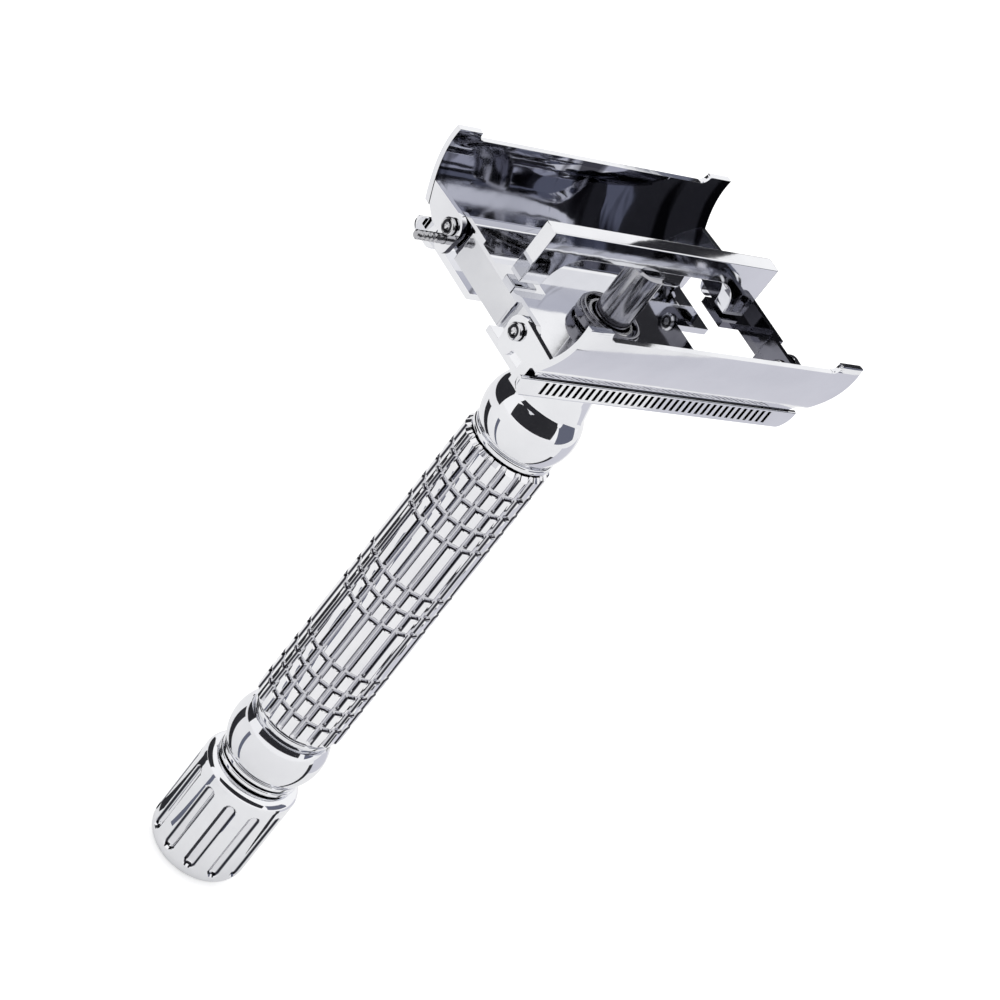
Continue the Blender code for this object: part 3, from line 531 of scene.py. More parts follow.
neck_side = [bezier_point(neck_curve, step / 28) for step in range(28)]
upper_ball = ball_points(upper_radius, upper_middle, upper_cut, upper_reach, 44)
upper_lip = rounded([
    (groove_radius, neck_low.z + lip_thickness + lip_groove, 0.0),
    (groove_radius, neck_low.z + lip_thickness, 0.08 * MM),
    (lip_radius, neck_low.z + lip_thickness, lip_edge),
    (lip_radius, neck_low.z, lip_edge),
    (sleeve_bore, neck_low.z, 0.0),
], 5)
neck_profile = [(sleeve_bore, neck_high.z)] + neck_side + upper_ball + upper_lip
neck = as_object("neck_and_ball", lathe(neck_profile, steps=192), handle_chrome)
fit_piece(neck, "handle", "chrome_handle", "neck_ferrule")


# ---- Reeded grip ---------------------------------------------------------------------------------
# A brass sleeve, slightly thicker at the foot, milled with eighteen long flats between grooves and
# turned with rings of the same depth in groups of four, three and four. The grooves are rougher, and
# painted shade makes their walls black and their floors darker; the chrome is painted lighter here.

grip_low, grip_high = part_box("grip_sleeve")
grip_length = grip_high.z - grip_low.z
grip_foot_radius = 5.89 * MM
grip_top_radius = 5.62 * MM
reed_count = 18
reed_steps = 12
reed_depth = 0.50 * MM
reed_crown = 0.6 * MM
land_half_share = 0.26
floor_half_share = 0.40
grip_chamfer = 0.5 * MM
ring_groups = (4, 3, 4)
ring_pitch = 2.84 * MM
ring_end_margin = 7.55 * MM
ring_half_width = 0.36 * MM
ring_floor = 0.16 * MM


def ring_middles():
    """Heights of the turned rings, group by group."""
    middle = (grip_low.z + grip_high.z) / 2
    for group, count in enumerate(ring_groups):
        centre = middle + (group - 1) * (grip_length / 2 - ring_end_margin)
        for ring in range(count):
            yield centre + (ring - (count - 1) / 2) * ring_pitch


def grip_rows():
    """Rows up the grip as (height, how deep the turning goes there)."""
    rows = [(grip_low.z, reed_depth), (grip_low.z + grip_chamfer, 0.0)]
    edge = 0.07 * MM
    for middle in ring_middles():
        for away, depth in ((ring_half_width + edge, 0.0), (ring_half_width, 0.12 * reed_depth),
                            (ring_floor, reed_depth), (0.0, 1.06 * reed_depth)):
            rows += [(middle - away, depth), (middle + away, depth)]
    rows += [(grip_high.z - grip_chamfer, 0.0), (grip_high.z, reed_depth)]
    return sorted(set(rows))


def make_reeds():
    """Mills even grooves along a sleeve, and turns it down by the depth stored on each row."""
    tree, given, out = new_milling("reeds", {
        "Count": ("Int", 18),
        "Depth": ("Float", 0.0005),
        "Land": ("Float", 0.3),
        "Floor": ("Float", 0.4),
        "Bore": ("Float", 0.003),
    })
    axes, reach, angle = polar(tree)
    share = calculate(tree, "ABSOLUTE", phase(tree, angle, given["Count"], 0.0))
    wall = ramp(tree, share, given["Land"], given["Floor"], 0.0, given["Depth"])
    crown = calculate(tree, "MULTIPLY", calculate(tree, "MULTIPLY", share, share), reed_crown)
    milled = calculate(tree, "ADD", wall, crown)
    turned = add_node(tree, "GeometryNodeInputNamedAttribute", {"Name": "turned_down"}, data_type="FLOAT")
    inset = calculate(tree, "MAXIMUM", milled, turned.outputs[0])
    return sink(tree, given, out, axes, reach, inset, calculate(tree, "MULTIPLY", given["Bore"], 1.2))


reeds = make_reeds()
# Painted light: this chrome is lighter than the other chrome, and its grooves get painted shade below.
grip_chrome = make_metal("grip_chrome", (0.90, 0.90, 0.92), (0.80, 0.80, 0.83), 0.03, 0.04,
                         scratch_depth=0.00025 * MM)
paint_cut_shade(grip_chrome, grip_low.z + grip_chamfer, grip_high.z - grip_chamfer, grip_foot_radius, grip_top_radius,
            (0.62, 0.62, 0.66), (0.035, 0.035, 0.045), reed_depth)

sleeve = lathe([(sleeve_bore, grip_high.z)] + [
    (grip_foot_radius + (grip_top_radius - grip_foot_radius) * (height - grip_low.z) / grip_length, height)
    for height, _ in reversed(grip_rows())
] + [(sleeve_bore, grip_low.z)], steps=reed_count * reed_steps)
grip = as_object("reeded_grip", sleeve)
turned_down = grip.data.attributes.new("turned_down", "FLOAT", "POINT")
depth_at = {round(height / MM, 3): depth for height, depth in grip_rows()}
for vertex in grip.data.vertices:
    turned_down.data[vertex.index].value = depth_at[round(vertex.co.z / MM, 3)]
grow(grip, reeds, grip_chrome, {
    "Count": reed_count,
    "Depth": reed_depth,
    "Land": land_half_share,
    "Floor": floor_half_share,
    "Bore": sleeve_bore,
}, sharp=28)
fit_piece(grip, "handle", "chrome_handle", "grip_sleeve")


# ---- Guard plate ---------------------------------------------------------------------------------
# The blade's bed, drawn from one brass sheet: a flat floor, a rail along each side that carries the
# blade, and a flange outside each rail pierced by a row of slots. Notches let the end brackets sink in.

head_chrome = make_chrome("head_chrome")


def prism(outline, low, high, axis):
    """A bmesh of an outline pushed from low to high along an axis."""
    shape = bmesh.new()
    ends = []
    for level in (low, high):
        placed = {"X": [(level, a, b) for a, b in outline], "Y": [(a, level, b) for a, b in outline],
                  "Z": [(a, b, level) for a, b in outline]}
        ends.append([shape.verts.new(point) for point in placed[axis]])
    first, last = ends
    for index in range(len(first)):
        after = (index + 1) % len(first)
        shape.faces.new((first[index], first[after], last[after], last[index]))
    shape.faces.new(reversed(first))
    shape.faces.new(last)
    bmesh.ops.recalc_face_normals(shape, faces=shape.faces)
    return shape


def block(low, high):
    """A box between two corners, given in any order."""
    (x0, x1), (y0, y1), (z0, z1) = (sorted(pair) for pair in zip(low, high))
    return prism([(y0, z0), (y1, z0), (y1, z1), (y0, z1)], x0, x1, "X")


def combine(piece, operation, *shapes):
    """Cuts, joins or intersects a piece with other closed shapes."""
    tools = []
    for shape in shapes:
        tool = as_object("tool", shape)
        change = piece.modifiers.new("change", "BOOLEAN")
        change.operation = operation
        change.solver = "EXACT"
        change.object = tool
        tools.append(tool)
    keep_result(piece)
    for tool in tools:
        bpy.data.objects.remove(tool)


def soften(piece, width, steps=2):
    """Breaks a piece's hard edges, and keeps its flat faces looking flat."""
    bevel = piece.modifiers.new("bevel", "BEVEL")
    bevel.width = width
    bevel.segments = steps
    bevel.limit_method = "ANGLE"
    bevel.angle_limit = math.radians(38)
    keep_result(piece, sharp=50)
    piece.modifiers.new("even", "WEIGHTED_NORMAL").keep_sharp = True
    keep_result(piece, sharp=None)


def mirrored(corners):
    """A half section's corners and their mirror image, as one closed outline."""
    return corners + [(-x, *rest) for x, *rest in reversed(corners)]


guard_low, guard_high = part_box("guard_plate")
sheet = 0.8 * MM
bed_z = guard_low.z + sheet
flange_outer = guard_high.y
flange_inner = flange_outer - 0.5 * MM
flange_top = bed_z + 1.75 * MM
trough_z = bed_z + 0.6 * MM
rail_outer = 11.2 * MM
rail_inner = 9.9 * MM
rail_foot = 9.3 * MM
notch_half_width = 9.85 * MM
notch_start = 18.54 * MM
rail_end = 20.04 * MM
lower_corner = 2.2 * MM
slot_count = 36
slot_pitch = 0.985 * MM
slot_width = 0.48 * MM
slot_cutter = 2.4 * MM
slot_low = bed_z - 0.2 * MM
slot_high = bed_z + 1.45 * MM

guard_section = rounded(mirrored([
    (rail_foot, bed_z, 0.5 * MM),
    (rail_inner, guard_high.z, 0.22 * MM),
    (rail_outer, guard_high.z, 0.22 * MM),
    (rail_outer, trough_z, 0.10 * MM),
    (flange_inner, trough_z, 0.10 * MM),
    (flange_inner, flange_top, 0.12 * MM),
    (flange_outer, flange_top, 0.18 * MM),
    (flange_outer, guard_low.z, 0.30 * MM),
]), 4)
guard_front = rounded([
    (-guard_high.x, guard_high.z + MM, 0.0),
    (-guard_high.x, guard_low.z, lower_corner),
    (guard_high.x, guard_low.z, lower_corner),
    (guard_high.x, guard_high.z + MM, 0.0),
], 10)
below = guard_low.z - MM
above = guard_high.z + MM
beyond = guard_high.x + MM


def make_slots():
    """Pierces a row of upright slots through both flanges of a plate."""
    tree, given, out = new_milling("slots", {
        "Count": ("Int", 36),
        "Pitch": ("Float", 0.001),
        "Size": ("Vector", (0.0005, 0.002, 0.0016)),
        "Reach": ("Float", 0.012),
        "Height": ("Float", 0.09),
    })
    run = calculate(tree, "MULTIPLY", calculate(tree, "SUBTRACT", given["Count"], 1.0), given["Pitch"])
    start = calculate(tree, "MULTIPLY", run, -0.5)
    step = vector(tree, X=given["Pitch"])
    points = add_node(tree, "GeometryNodeJoinGeometry")
    for way in (-1.0, 1.0):
        first = vector(tree, X=start, Y=calculate(tree, "MULTIPLY", given["Reach"], way), Z=given["Height"])
        row = add_node(tree, "GeometryNodeMeshLine",
                       {"Count": given["Count"], "Start Location": first, "Offset": step})
        tree.links.new(row.outputs[0], points.inputs[0])
    cutter = add_node(tree, "GeometryNodeMeshCube", {"Size": given["Size"]}).outputs[0]
    copies = add_node(tree, "GeometryNodeInstanceOnPoints", {"Points": points.outputs[0], "Instance": cutter})
    tools = add_node(tree, "GeometryNodeRealizeInstances", {0: copies.outputs[0]}).outputs[0]
    cut = add_node(tree, "GeometryNodeMeshBoolean", {"Mesh 1": given["Geometry"], "Mesh 2": tools},
                   operation="DIFFERENCE", solver="EXACT").outputs["Mesh"]
    return end_tree(tree, given, out, cut)


guard_chrome = make_chrome("guard_chrome")
guard_tree = guard_chrome.node_tree
guard_axes = own_axes(guard_tree)
outward = calculate(guard_tree, "ABSOLUTE", guard_axes["Y"])
along = calculate(guard_tree, "ABSOLUTE", guard_axes["X"])
# Painted shade: the trough between each rail and its flange, and the slots that open into it, are painted near
# black along the rails.
painted_trough_shade = 1.0
for operation, value, limit in (
    ("GREATER_THAN", outward, rail_outer - 0.05 * MM),
    ("LESS_THAN", guard_axes["Z"], flange_top + 0.05 * MM),
    ("LESS_THAN", outward, flange_outer - 0.06 * MM),
    ("GREATER_THAN", guard_axes["Z"], slot_low + 0.02 * MM),
    ("LESS_THAN", along, rail_end),
):
    painted_trough_shade = calculate(guard_tree, "MULTIPLY", painted_trough_shade, calculate(guard_tree, operation, value, limit))
tint_where(guard_chrome, painted_trough_shade, (0.02, 0.02, 0.025))

guard = as_object("guard", prism(guard_section, guard_low.x, guard_high.x, "X"), guard_chrome)
combine(guard, "INTERSECT", prism(guard_front, -beyond, beyond, "Y"))
tongue_notch = 13.45 * MM
tongue_half_width = 2.3 * MM
for side in (-1, 1):
    steps = ((rail_end, flange_inner + 0.05 * MM), (notch_start, notch_half_width),
             (tongue_notch, tongue_half_width))
    combine(guard, "DIFFERENCE", *(
        block((side * start, -half, below), (side * beyond, half, above)) for start, half in steps
    ))
hole = lathe([(0.0, above), (sleeve_bore, above), (sleeve_bore, below), (0.0, below)], steps=64, closed=False)
combine(guard, "DIFFERENCE", hole)
grow(guard, make_slots(), guard_chrome, {
    "Count": slot_count,
    "Pitch": slot_pitch,
    "Size": (slot_width, slot_cutter, slot_high - slot_low),
    "Reach": flange_inner - 0.25 * MM + slot_cutter / 2,
    "Height": (slot_low + slot_high) / 2,
})
soften(guard, 0.07 * MM)
fit_piece(guard, "handle", "chrome_head", "guard_plate")


# ---- Head nut ------------------------------------------------------------------------------------
# A low round nut screwed on the tube's end holds the guard down. It is stepped: a flange with a
# narrower collar inside it, and the tube's end shows dark in the middle.

nut_low, nut_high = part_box("head_nut")
nut_collar = 3.65 * MM
nut_step = 0.35 * MM
nut_profile = rounded([
    (sleeve_bore, nut_high.z, 0.06 * MM),
    (nut_collar, nut_high.z, 0.08 * MM),
    (nut_collar, nut_high.z - nut_step, 0.04 * MM),
    (nut_high.x, nut_high.z - nut_step, 0.14 * MM),
    (nut_high.x, nut_low.z, 0.10 * MM),
    (sleeve_bore, nut_low.z, 0.06 * MM),
], 4)
nut_metal = make_metal("nut_metal", (0.30, 0.30, 0.33), (0.16, 0.16, 0.18),
                       0.08, 0.08, turned_depth=0.004 * MM)
nut = as_object("stepped_nut", lathe(nut_profile), nut_metal)
fit_piece(nut, "handle", "chrome_rod", "head_nut")


# ---- Push rod ------------------------------------------------------------------------------------
# A turned steel rod, drilled and threaded from below for the spindle. Its chamfered top is riveted
# into the centre bar, and it slides in the tube. Turning has left fine rings round it.

rod_metal = make_metal("rod_metal", (0.50, 0.50, 0.53), (0.24, 0.24, 0.27),
                       0.08, 0.08, turned_depth=0.004 * MM)
rod_low, rod_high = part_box("push_rod")
rod_bore = 1.6 * MM
rod_bore_depth = 40.0 * MM
rod_chamfer = 0.25 * MM
rod_profile = [
    (0.0, rod_high.z),
    (rod_high.x - rod_chamfer, rod_high.z),
    (rod_high.x, rod_high.z - rod_chamfer),
    (rod_high.x, rod_low.z + rod_chamfer),
    (rod_high.x - rod_chamfer, rod_low.z),
    (rod_bore, rod_low.z),
    (rod_bore, rod_low.z + rod_bore_depth),
    (0.0, rod_low.z + rod_bore_depth),
]
rod = as_object("turned_rod", lathe(rod_profile, steps=96, closed=False), rod_metal)
fit_piece(rod, "carrier", "chrome_rod", "push_rod")


# ---- Centre bar ----------------------------------------------------------------------------------
# A flat brass bar with two short legs that fills the blade's slot and lines the blade up. It is
# milled, its web thinner than its legs, and its edges are broken before it is plated.

bar_low, bar_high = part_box("center_bar")
bar_leg = 3.2 * MM
bar_depth = 2.9 * MM
bar_arch = bar_high.z - bar_depth - bar_low.z
leg_inner = bar_high.x - bar_leg
bar_outline = [(-bar_high.x, bar_low.z), (-bar_high.x, bar_high.z)]
bar_outline += [(bar_high.x, bar_high.z), (bar_high.x, bar_low.z)]
bar_outline += arc((leg_inner - bar_arch, bar_low.z), bar_arch, 0, 90, 14)
bar_outline += arc((bar_arch - leg_inner, bar_low.z), bar_arch, 90, 180, 14)
bar = as_object("milled_bar", prism(bar_outline, bar_low.y, bar_high.y, "Y"), head_chrome)
soften(bar, 0.14 * MM, 3)
fit_piece(bar, "carrier", "chrome_head", "center_bar")


# ---- End brackets and rivets ---------------------------------------------------------------------
# Two stamped plates close the head's ends. Each has a middle panel set out by its own thickness, two
# wings for the doors' hinges and a tongue bent in under the bar's leg, where one rivet holds it.

bracket_chrome = make_metal("bracket_chrome", (0.74, 0.745, 0.77), (0.60, 0.605, 0.64),
                            0.04, 0.06, scratch_depth=0.0003 * MM, waviness=0.010 * MM)
# Painted shade: a darker copy of the bracket chrome, worn by the right bracket only.
shaded_bracket_chrome = make_metal("shaded_bracket_chrome", (0.20, 0.20, 0.23), (0.07, 0.07, 0.085),
                         0.05, 0.06, scratch_depth=0.0003 * MM, waviness=0.012 * MM)
wing_inner = 19.34 * MM
wing_outer = 20.04 * MM
panel_inner = 20.14 * MM
panel_outer = 20.84 * MM
panel_half = 5.1 * MM
joggle = 4.2 * MM
hinge_y = 7.8 * MM
hinge_z = bed_z + 4.1 * MM
eye_radius = 1.75 * MM
pin_bore = 0.65 * MM
bracket_low, bracket_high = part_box("end_bracket_right")
tongue_top = bar_low.z - 0.3 * MM
tongue_low = tongue_top - 0.8 * MM
tongue_half = 2.0 * MM
rivet_x = bar_high.x - bar_leg / 2
rivet_shaft = 0.62 * MM


def bracket_plan():
    """The right bracket seen from above: its middle panel joggled out between two wings."""
    wing_end = hinge_y + eye_radius + MM
    return rounded([
        (wing_inner, wing_end, 0.0),
        (wing_inner, joggle, 0.25 * MM),
        (panel_inner, joggle - 0.5 * MM, 0.2 * MM),
        (panel_inner, 0.5 * MM - joggle, 0.2 * MM),
        (wing_inner, -joggle, 0.25 * MM),
        (wing_inner, -wing_end, 0.0),
        (wing_outer, -wing_end, 0.0),
        (wing_outer, -panel_half, 0.05 * MM),
        (panel_outer, -panel_half, 0.25 * MM),
        (panel_outer, panel_half, 0.25 * MM),
        (wing_outer, panel_half, 0.05 * MM),
        (wing_outer, wing_end, 0.0),
    ], 4)


def bracket_end_view():
    """The bracket seen from the head's end, its wings rounded about the hinges."""
    right = arc((hinge_y, hinge_z), eye_radius, -70, 70, 24)
    left = [(-y, z) for y, z in reversed(right)]
    foot = [(-panel_half, bracket_low.z), (panel_half, bracket_low.z)]
    top = [(panel_half, bracket_high.z), (-panel_half, bracket_high.z)]
    return foot + [tuple(point) for point in right] + top + left


def across(radius, low, high, y, z, steps=48):
    """A closed cylinder along the head, between two X values."""
    return prism([(y + radius * math.cos(a), z + radius * math.sin(a))
                  for a in (2 * math.pi * step / steps for step in range(steps))], low, high, "X")


for side, hand in ((-1, "left"), (1, "right")):
    blank = prism(bracket_plan(), bracket_low.z - MM, bracket_high.z + MM, "Z")
    bracket = as_object("stamped_bracket_" + hand, blank, bracket_chrome if side < 0 else shaded_bracket_chrome)
    combine(bracket, "INTERSECT", prism(bracket_end_view(), -beyond, beyond, "X"))
    combine(bracket, "UNION", block((bracket_low.x, -tongue_half, tongue_low),
                                    (panel_inner + 0.2 * MM, tongue_half, tongue_top)))
    combine(bracket, "DIFFERENCE", *(
        across(pin_bore, wing_inner - MM, wing_outer + MM, way * hinge_y, hinge_z) for way in (-1, 1)
    ))
    if side < 0:
        bracket.data.transform(Matrix.Rotation(math.pi, 4, "Z"))
    soften(bracket, 0.10 * MM)
    fit_piece(bracket, "carrier", "chrome_head", "end_bracket_" + hand)
    rivet_low, rivet_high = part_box("bar_rivet_" + hand)
    rivet_radius = (rivet_high.y - rivet_low.y) / 2
    rivet_profile = [(0.0, rivet_high.z), (rivet_shaft, rivet_high.z), (rivet_shaft, tongue_low)]
    rivet_profile += [(rivet_radius, tongue_low)]
    rivet_profile += [(rivet_radius * math.cos(math.radians(15 * step)),
                       tongue_low - (tongue_low - rivet_low.z) * math.sin(math.radians(15 * step)))
                      for step in range(1, 6)] + [(0.0, rivet_low.z)]
    rivet_shape = lathe(rivet_profile, steps=48, closed=False)
    bmesh.ops.translate(rivet_shape, vec=(side * rivet_x, 0.0, 0.0), verts=rivet_shape.verts)
    rivet = as_object("domed_rivet_" + hand, rivet_shape, turned_steel)
    fit_piece(rivet, "carrier", "steel_pins", "bar_rivet_" + hand)


# ---- Hinge pins ----------------------------------------------------------------------------------
# Four short steel pins carry the doors. Each goes through a door's ear and a bracket's wing, and is
# riveted over at both ends; the outer head keeps the dimple of the riveting punch.

pin_low, pin_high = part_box("hinge_pin_back_right")
pin_head = 0.40 * MM
pin_head_radius = (pin_high.z - pin_low.z) / 2
pin_shaft = 0.60 * MM
dimple_radius = 0.46 * MM
dimple_depth = 0.22 * MM


def make_copies():
    """Sets a piece at both hinges of both ends of the head, turned round at the far end."""
    tree, given, out = new_milling("copies", {
        "Reach": ("Float", 0.008),
        "Height": ("Float", 0.09),
    })
    joined = add_node(tree, "GeometryNodeJoinGeometry")
    for way in (-1.0, 1.0):
        for turn in (0.0, math.pi):
            side = calculate(tree, "MULTIPLY", given["Reach"], way)
            place = vector(tree, Y=side, Z=given["Height"])
            copy = add_node(tree, "GeometryNodeTransform", {"Geometry": given["Geometry"], "Translation": place,
                                                            "Rotation": (0.0, 0.0, turn)})
            tree.links.new(copy.outputs[0], joined.inputs[0])
    return end_tree(tree, given, out, joined.outputs[0])


pin_steel = make_metal("pin_steel", (0.72, 0.72, 0.74), (0.60, 0.60, 0.62), 0.12, 0.10,
                       turned_depth=0.003 * MM)
pin_tree = pin_steel.node_tree
pin_axes = own_axes(pin_tree)
beside = calculate(pin_tree, "SUBTRACT", calculate(pin_tree, "ABSOLUTE", pin_axes["Y"]), hinge_y)
over = calculate(pin_tree, "SUBTRACT", pin_axes["Z"], hinge_z)
from_hinge = length_of(pin_tree, beside, over)
# Painted shade: a near-black ring is painted round each pin's dimple, at a set distance from the hinge's axis.
tint_where(pin_steel, calculate(pin_tree, "COMPARE", from_hinge, 0.58 * MM, 0.17 * MM), (0.03, 0.03, 0.035))

pin_profile = [(0.0, pin_high.x - dimple_depth), (0.5 * dimple_radius, pin_high.x - 0.9 * dimple_depth)]
pin_profile += rounded([
    (0.0, pin_high.x - dimple_depth, 0.0),
    (dimple_radius, pin_high.x - 0.03 * MM, 0.0),
    (dimple_radius + 0.1 * MM, pin_high.x, 0.03 * MM),
    (pin_head_radius, pin_high.x - 0.08 * MM, 0.14 * MM),
    (pin_head_radius, pin_high.x - pin_head, 0.0),
], 4)[1:]
pin_profile += [(pin_shaft, pin_high.x - pin_head), (pin_shaft, pin_low.x + pin_head)]
pin_profile += [(pin_head_radius, pin_low.x + pin_head), (pin_head_radius, pin_low.x + 0.2 * MM),
                (pin_head_radius - 0.2 * MM, pin_low.x), (0.0, pin_low.x)]
pin_shape = lathe(pin_profile, steps=48, closed=False)
bmesh.ops.rotate(pin_shape, verts=pin_shape.verts, matrix=Matrix.Rotation(math.pi / 2, 3, "Y"))
pins = as_object("hinge_pins", pin_shape)
grow(pins, make_copies(), pin_steel, {"Reach": hinge_y, "Height": hinge_z})
fit_piece(pins, "carrier", "steel_pins", "hinge_pin_front_left", "hinge_pin_front_right",
          "hinge_pin_back_left", "hinge_pin_back_right")


# ---- Doors ---------------------------------------------------------------------------------------
# Two doors pressed from brass sheet close over the blade. Each is one curved wall with a shallow
# recess along its free edge, a tab at each end of it, and an ear at each end for its hinge.

door_wall = 0.70 * MM
door_end = 21.1 * MM
ear_inner = 20.34 * MM
ear_outer = 21.04 * MM
skirt_end = 19.6 * MM
skirt_top = hinge_z - 0.8 * MM
recess_end = 17.8 * MM
recess_depth = 1.1 * MM
door_curve = (
    Vector((7.50 * MM, 7.65 * MM)),
    Vector((7.95 * MM, 3.80 * MM)),
    Vector((6.20 * MM, 0.90 * MM)),
    Vector((4.30 * MM, -2.05 * MM)),
)
lobe_radius = 1.15 * MM
stub_bore = 0.6 * MM
past_wall = 20.0 * MM
hinge = Vector((hinge_y, hinge_z))


def inset_line(points, distance):
    """A line moved sideways by a distance, towards the hinge."""
    moved = []
    for index, point in enumerate(points):
        run = points[min(index + 1, len(points) - 1)] - points[max(index - 1, 0)]
        moved.append(point + Vector((run.y, -run.x)).normalized() * distance)
    return moved


def ear_outline():
    """The ear's side view: hinge eye, the lobe below it and the arm out to the wall."""
    curve = [bezier_point(door_curve, step / 40) for step in range(41)]
    middle = [hinge + point for point in inset_line(curve, door_wall / 2)]
    rim = [point for point in middle if skirt_top + 0.3 * MM < point.y < hinge_z + 1.6 * MM]
    heel = [Vector((rim[-1].x - door_wall, skirt_top + 0.06 * MM)), hinge + Vector((2.5 * MM, -1.6 * MM)),
            hinge + Vector((1.1 * MM, -1.6 * MM))]
    lobe = arc(hinge + Vector((-0.3 * MM, -2.0 * MM)), lobe_radius, 0, -180, 20)
    return rim + heel + lobe + arc(hinge, eye_radius, 200, 80, 24)


def make_door_chrome(name, inward):
    """Head chrome whose inner face is painted darker as painted shade, with dark noise bands over it as painted
    reflections.
    """
    metal = make_chrome(name)
    tree = metal.node_tree
    coordinates = add_node(tree, "ShaderNodeTexCoord").outputs
    facing = add_node(tree, "ShaderNodeSeparateXYZ", {0: coordinates["Normal"]}).outputs["Y"]
    inner = ramp(tree, calculate(tree, "MULTIPLY", facing, inward), 0.35, 0.6)
    along = add_node(tree, "ShaderNodeVectorMath", {0: coordinates["Object"], 1: (1.0, 0.15, 0.22)},
                     operation="MULTIPLY").outputs["Vector"]
    dark = ramp(tree, noise(tree, along, 150.0, 3.0, 0.6), 0.50, 0.57)
    # Painted shade and painted reflections: the inner face, found by its normal, is darkened, with dark bands.
    tint_where(metal, inner, blend_colors(tree, dark, (0.46, 0.47, 0.54), (0.05, 0.05, 0.065)))
    return metal


free_z = hinge_z + door_curve[0].y
recess_outline = rounded([
    (-recess_end, free_z + MM, 0.0),
    (-recess_end, free_z - recess_depth, 0.9 * MM),
    (recess_end, free_z - recess_depth, 0.9 * MM),
    (recess_end, free_z + MM, 0.0),
], 8)
outer_face = [hinge + bezier_point(door_curve, step / 40) for step in range(41)]
door_section = outer_face + list(reversed(inset_line(outer_face, door_wall)))
for name, node, body, way in (("pressed_door_front", "door_front", "front_door", -1),
                              ("pressed_door_back", "door_back", "back_door", 1)):
    wall = prism(door_section, -door_end, door_end, "X")
    door = as_object(name, wall, make_door_chrome(name + "_chrome", -way))
    combine(door, "DIFFERENCE", prism(recess_outline, 0.0, past_wall, "Y"), *(
        block((side * skirt_end, 0.0, below), (side * beyond, past_wall, skirt_top)) for side in (-1, 1)
    ))
    combine(door, "UNION", *(prism(ear_outline(), *sorted((side * ear_inner, side * ear_outer)), "X")
                             for side in (-1, 1)))
    combine(door, "DIFFERENCE", across(pin_bore, -beyond, beyond, hinge_y, hinge_z))
    if way > 0:
        stub_low, stub_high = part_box("ear_stub_pin")
        stub_place = (stub_low + stub_high) / 2
        combine(door, "DIFFERENCE", across(stub_bore, -beyond, 0.0, stub_place.y, stub_place.z))
    else:
        door.data.transform(Matrix.Rotation(math.pi, 4, "Z"))
    soften(door, 0.10 * MM)
    fit_piece(door, body, "chrome_head", node)


# ---- Ear stub pin --------------------------------------------------------------------------------
# A small steel pin pressed into the back door's left ear, with four fine grooves turned round it.

stub_radius = 0.55 * MM
stub_length = stub_high.x - stub_low.x
stub_chamfer = 0.18 * MM


def make_grooves():
    """Turns even V grooves round a pin that stands upright."""
    tree, given, out = new_milling("grooves", {
        "Count": ("Int", 4),
        "Top": ("Float", 0.004),
        "Pitch": ("Float", 0.0006),
        "Half Width": ("Float", 0.0001),
        "Depth": ("Float", 0.0001),
    })
    axes, reach, _ = polar(tree)
    turns = calculate(tree, "DIVIDE", calculate(tree, "SUBTRACT", given["Top"], axes["Z"]), given["Pitch"])
    highest = calculate(tree, "SUBTRACT", given["Count"], 1.0)
    nearest = calculate(tree, "MINIMUM", calculate(tree, "MAXIMUM", calculate(tree, "ROUND", turns), 0.0), highest)
    apart = calculate(tree, "ABSOLUTE", calculate(tree, "SUBTRACT", turns, nearest))
    away = calculate(tree, "DIVIDE", calculate(tree, "MULTIPLY", apart, given["Pitch"]), given["Half Width"])
    share = calculate(tree, "MAXIMUM", calculate(tree, "SUBTRACT", 1.0, away), 0.0)
    share = calculate(tree, "MINIMUM", calculate(tree, "MULTIPLY", share, 2.0), 1.0)
    inset = calculate(tree, "MULTIPLY", share, given["Depth"])
    return sink(tree, given, out, axes, reach, inset, calculate(tree, "MULTIPLY", given["Depth"], 2.0))


stub_rows = 78
stub_side = [(stub_radius, stub_length - stub_chamfer - (stub_length - stub_chamfer) * row / stub_rows)
             for row in range(stub_rows + 1)]
stub_profile = [(0.0, stub_length), (stub_radius - stub_chamfer, stub_length)] + stub_side + [(0.0, 0.0)]
stub = as_object("grooved_stub", lathe(stub_profile, steps=48, closed=False))
grow(stub, make_grooves(), turned_steel, {
    "Count": 4,
    "Top": stub_length - 0.65 * MM,
    "Pitch": 0.62 * MM,
    "Half Width": 0.16 * MM,
    "Depth": 0.15 * MM,
})
stub.data.transform(Matrix.Translation((stub_high.x, stub_place.y, stub_place.z))
                    @ Matrix.Rotation(-math.pi / 2, 4, "Y"))
fit_piece(stub, "back_door", "steel_pins", "ear_stub_pin")


# ---- Studio --------------------------------------------------------------------------------------
# A white floor under a white sky. The chrome is drawn by what it mirrors: black and grey cards stand
# round the razor and lie on the floor, out of the camera's sight. All light comes from the sky.

def make_stage_material(name, color, glow, diffuse):
    """A plain glowing card, a little uneven, that also shows its own grey if it has one."""
    card = bpy.data.materials.new(name)
    card.use_nodes = True
    tree = card.node_tree
    shader = tree.nodes["Principled BSDF"]
    shader.inputs["Roughness"].default_value = 0.9
    cloud = noise(tree, own_place(tree), 6.0, 2.0)
    lit = blend_colors(tree, cloud, color, [0.97 * part for part in color])
    tree.links.new(lit, shader.inputs["Emission Color"])
    shader.inputs["Emission Strength"].default_value = glow
    shader.inputs["Base Color"].default_value = (diffuse, diffuse, diffuse, 1.0)
    return card


def stage_card(name, corners, color):
    """A card of four corners that is seen only in the metal's reflections."""
    mesh = bpy.data.meshes.new(name)
    mesh.from_pydata(corners, [], [(0, 1, 2, 3)])
    mesh.materials.append(make_stage_material(name, color, 1.0, 0.0))
    card = bpy.data.objects.new(name, mesh)
    card.visible_camera = False
    card.visible_shadow = False
    card.visible_diffuse = False
    scene.collection.objects.link(card)
    return card


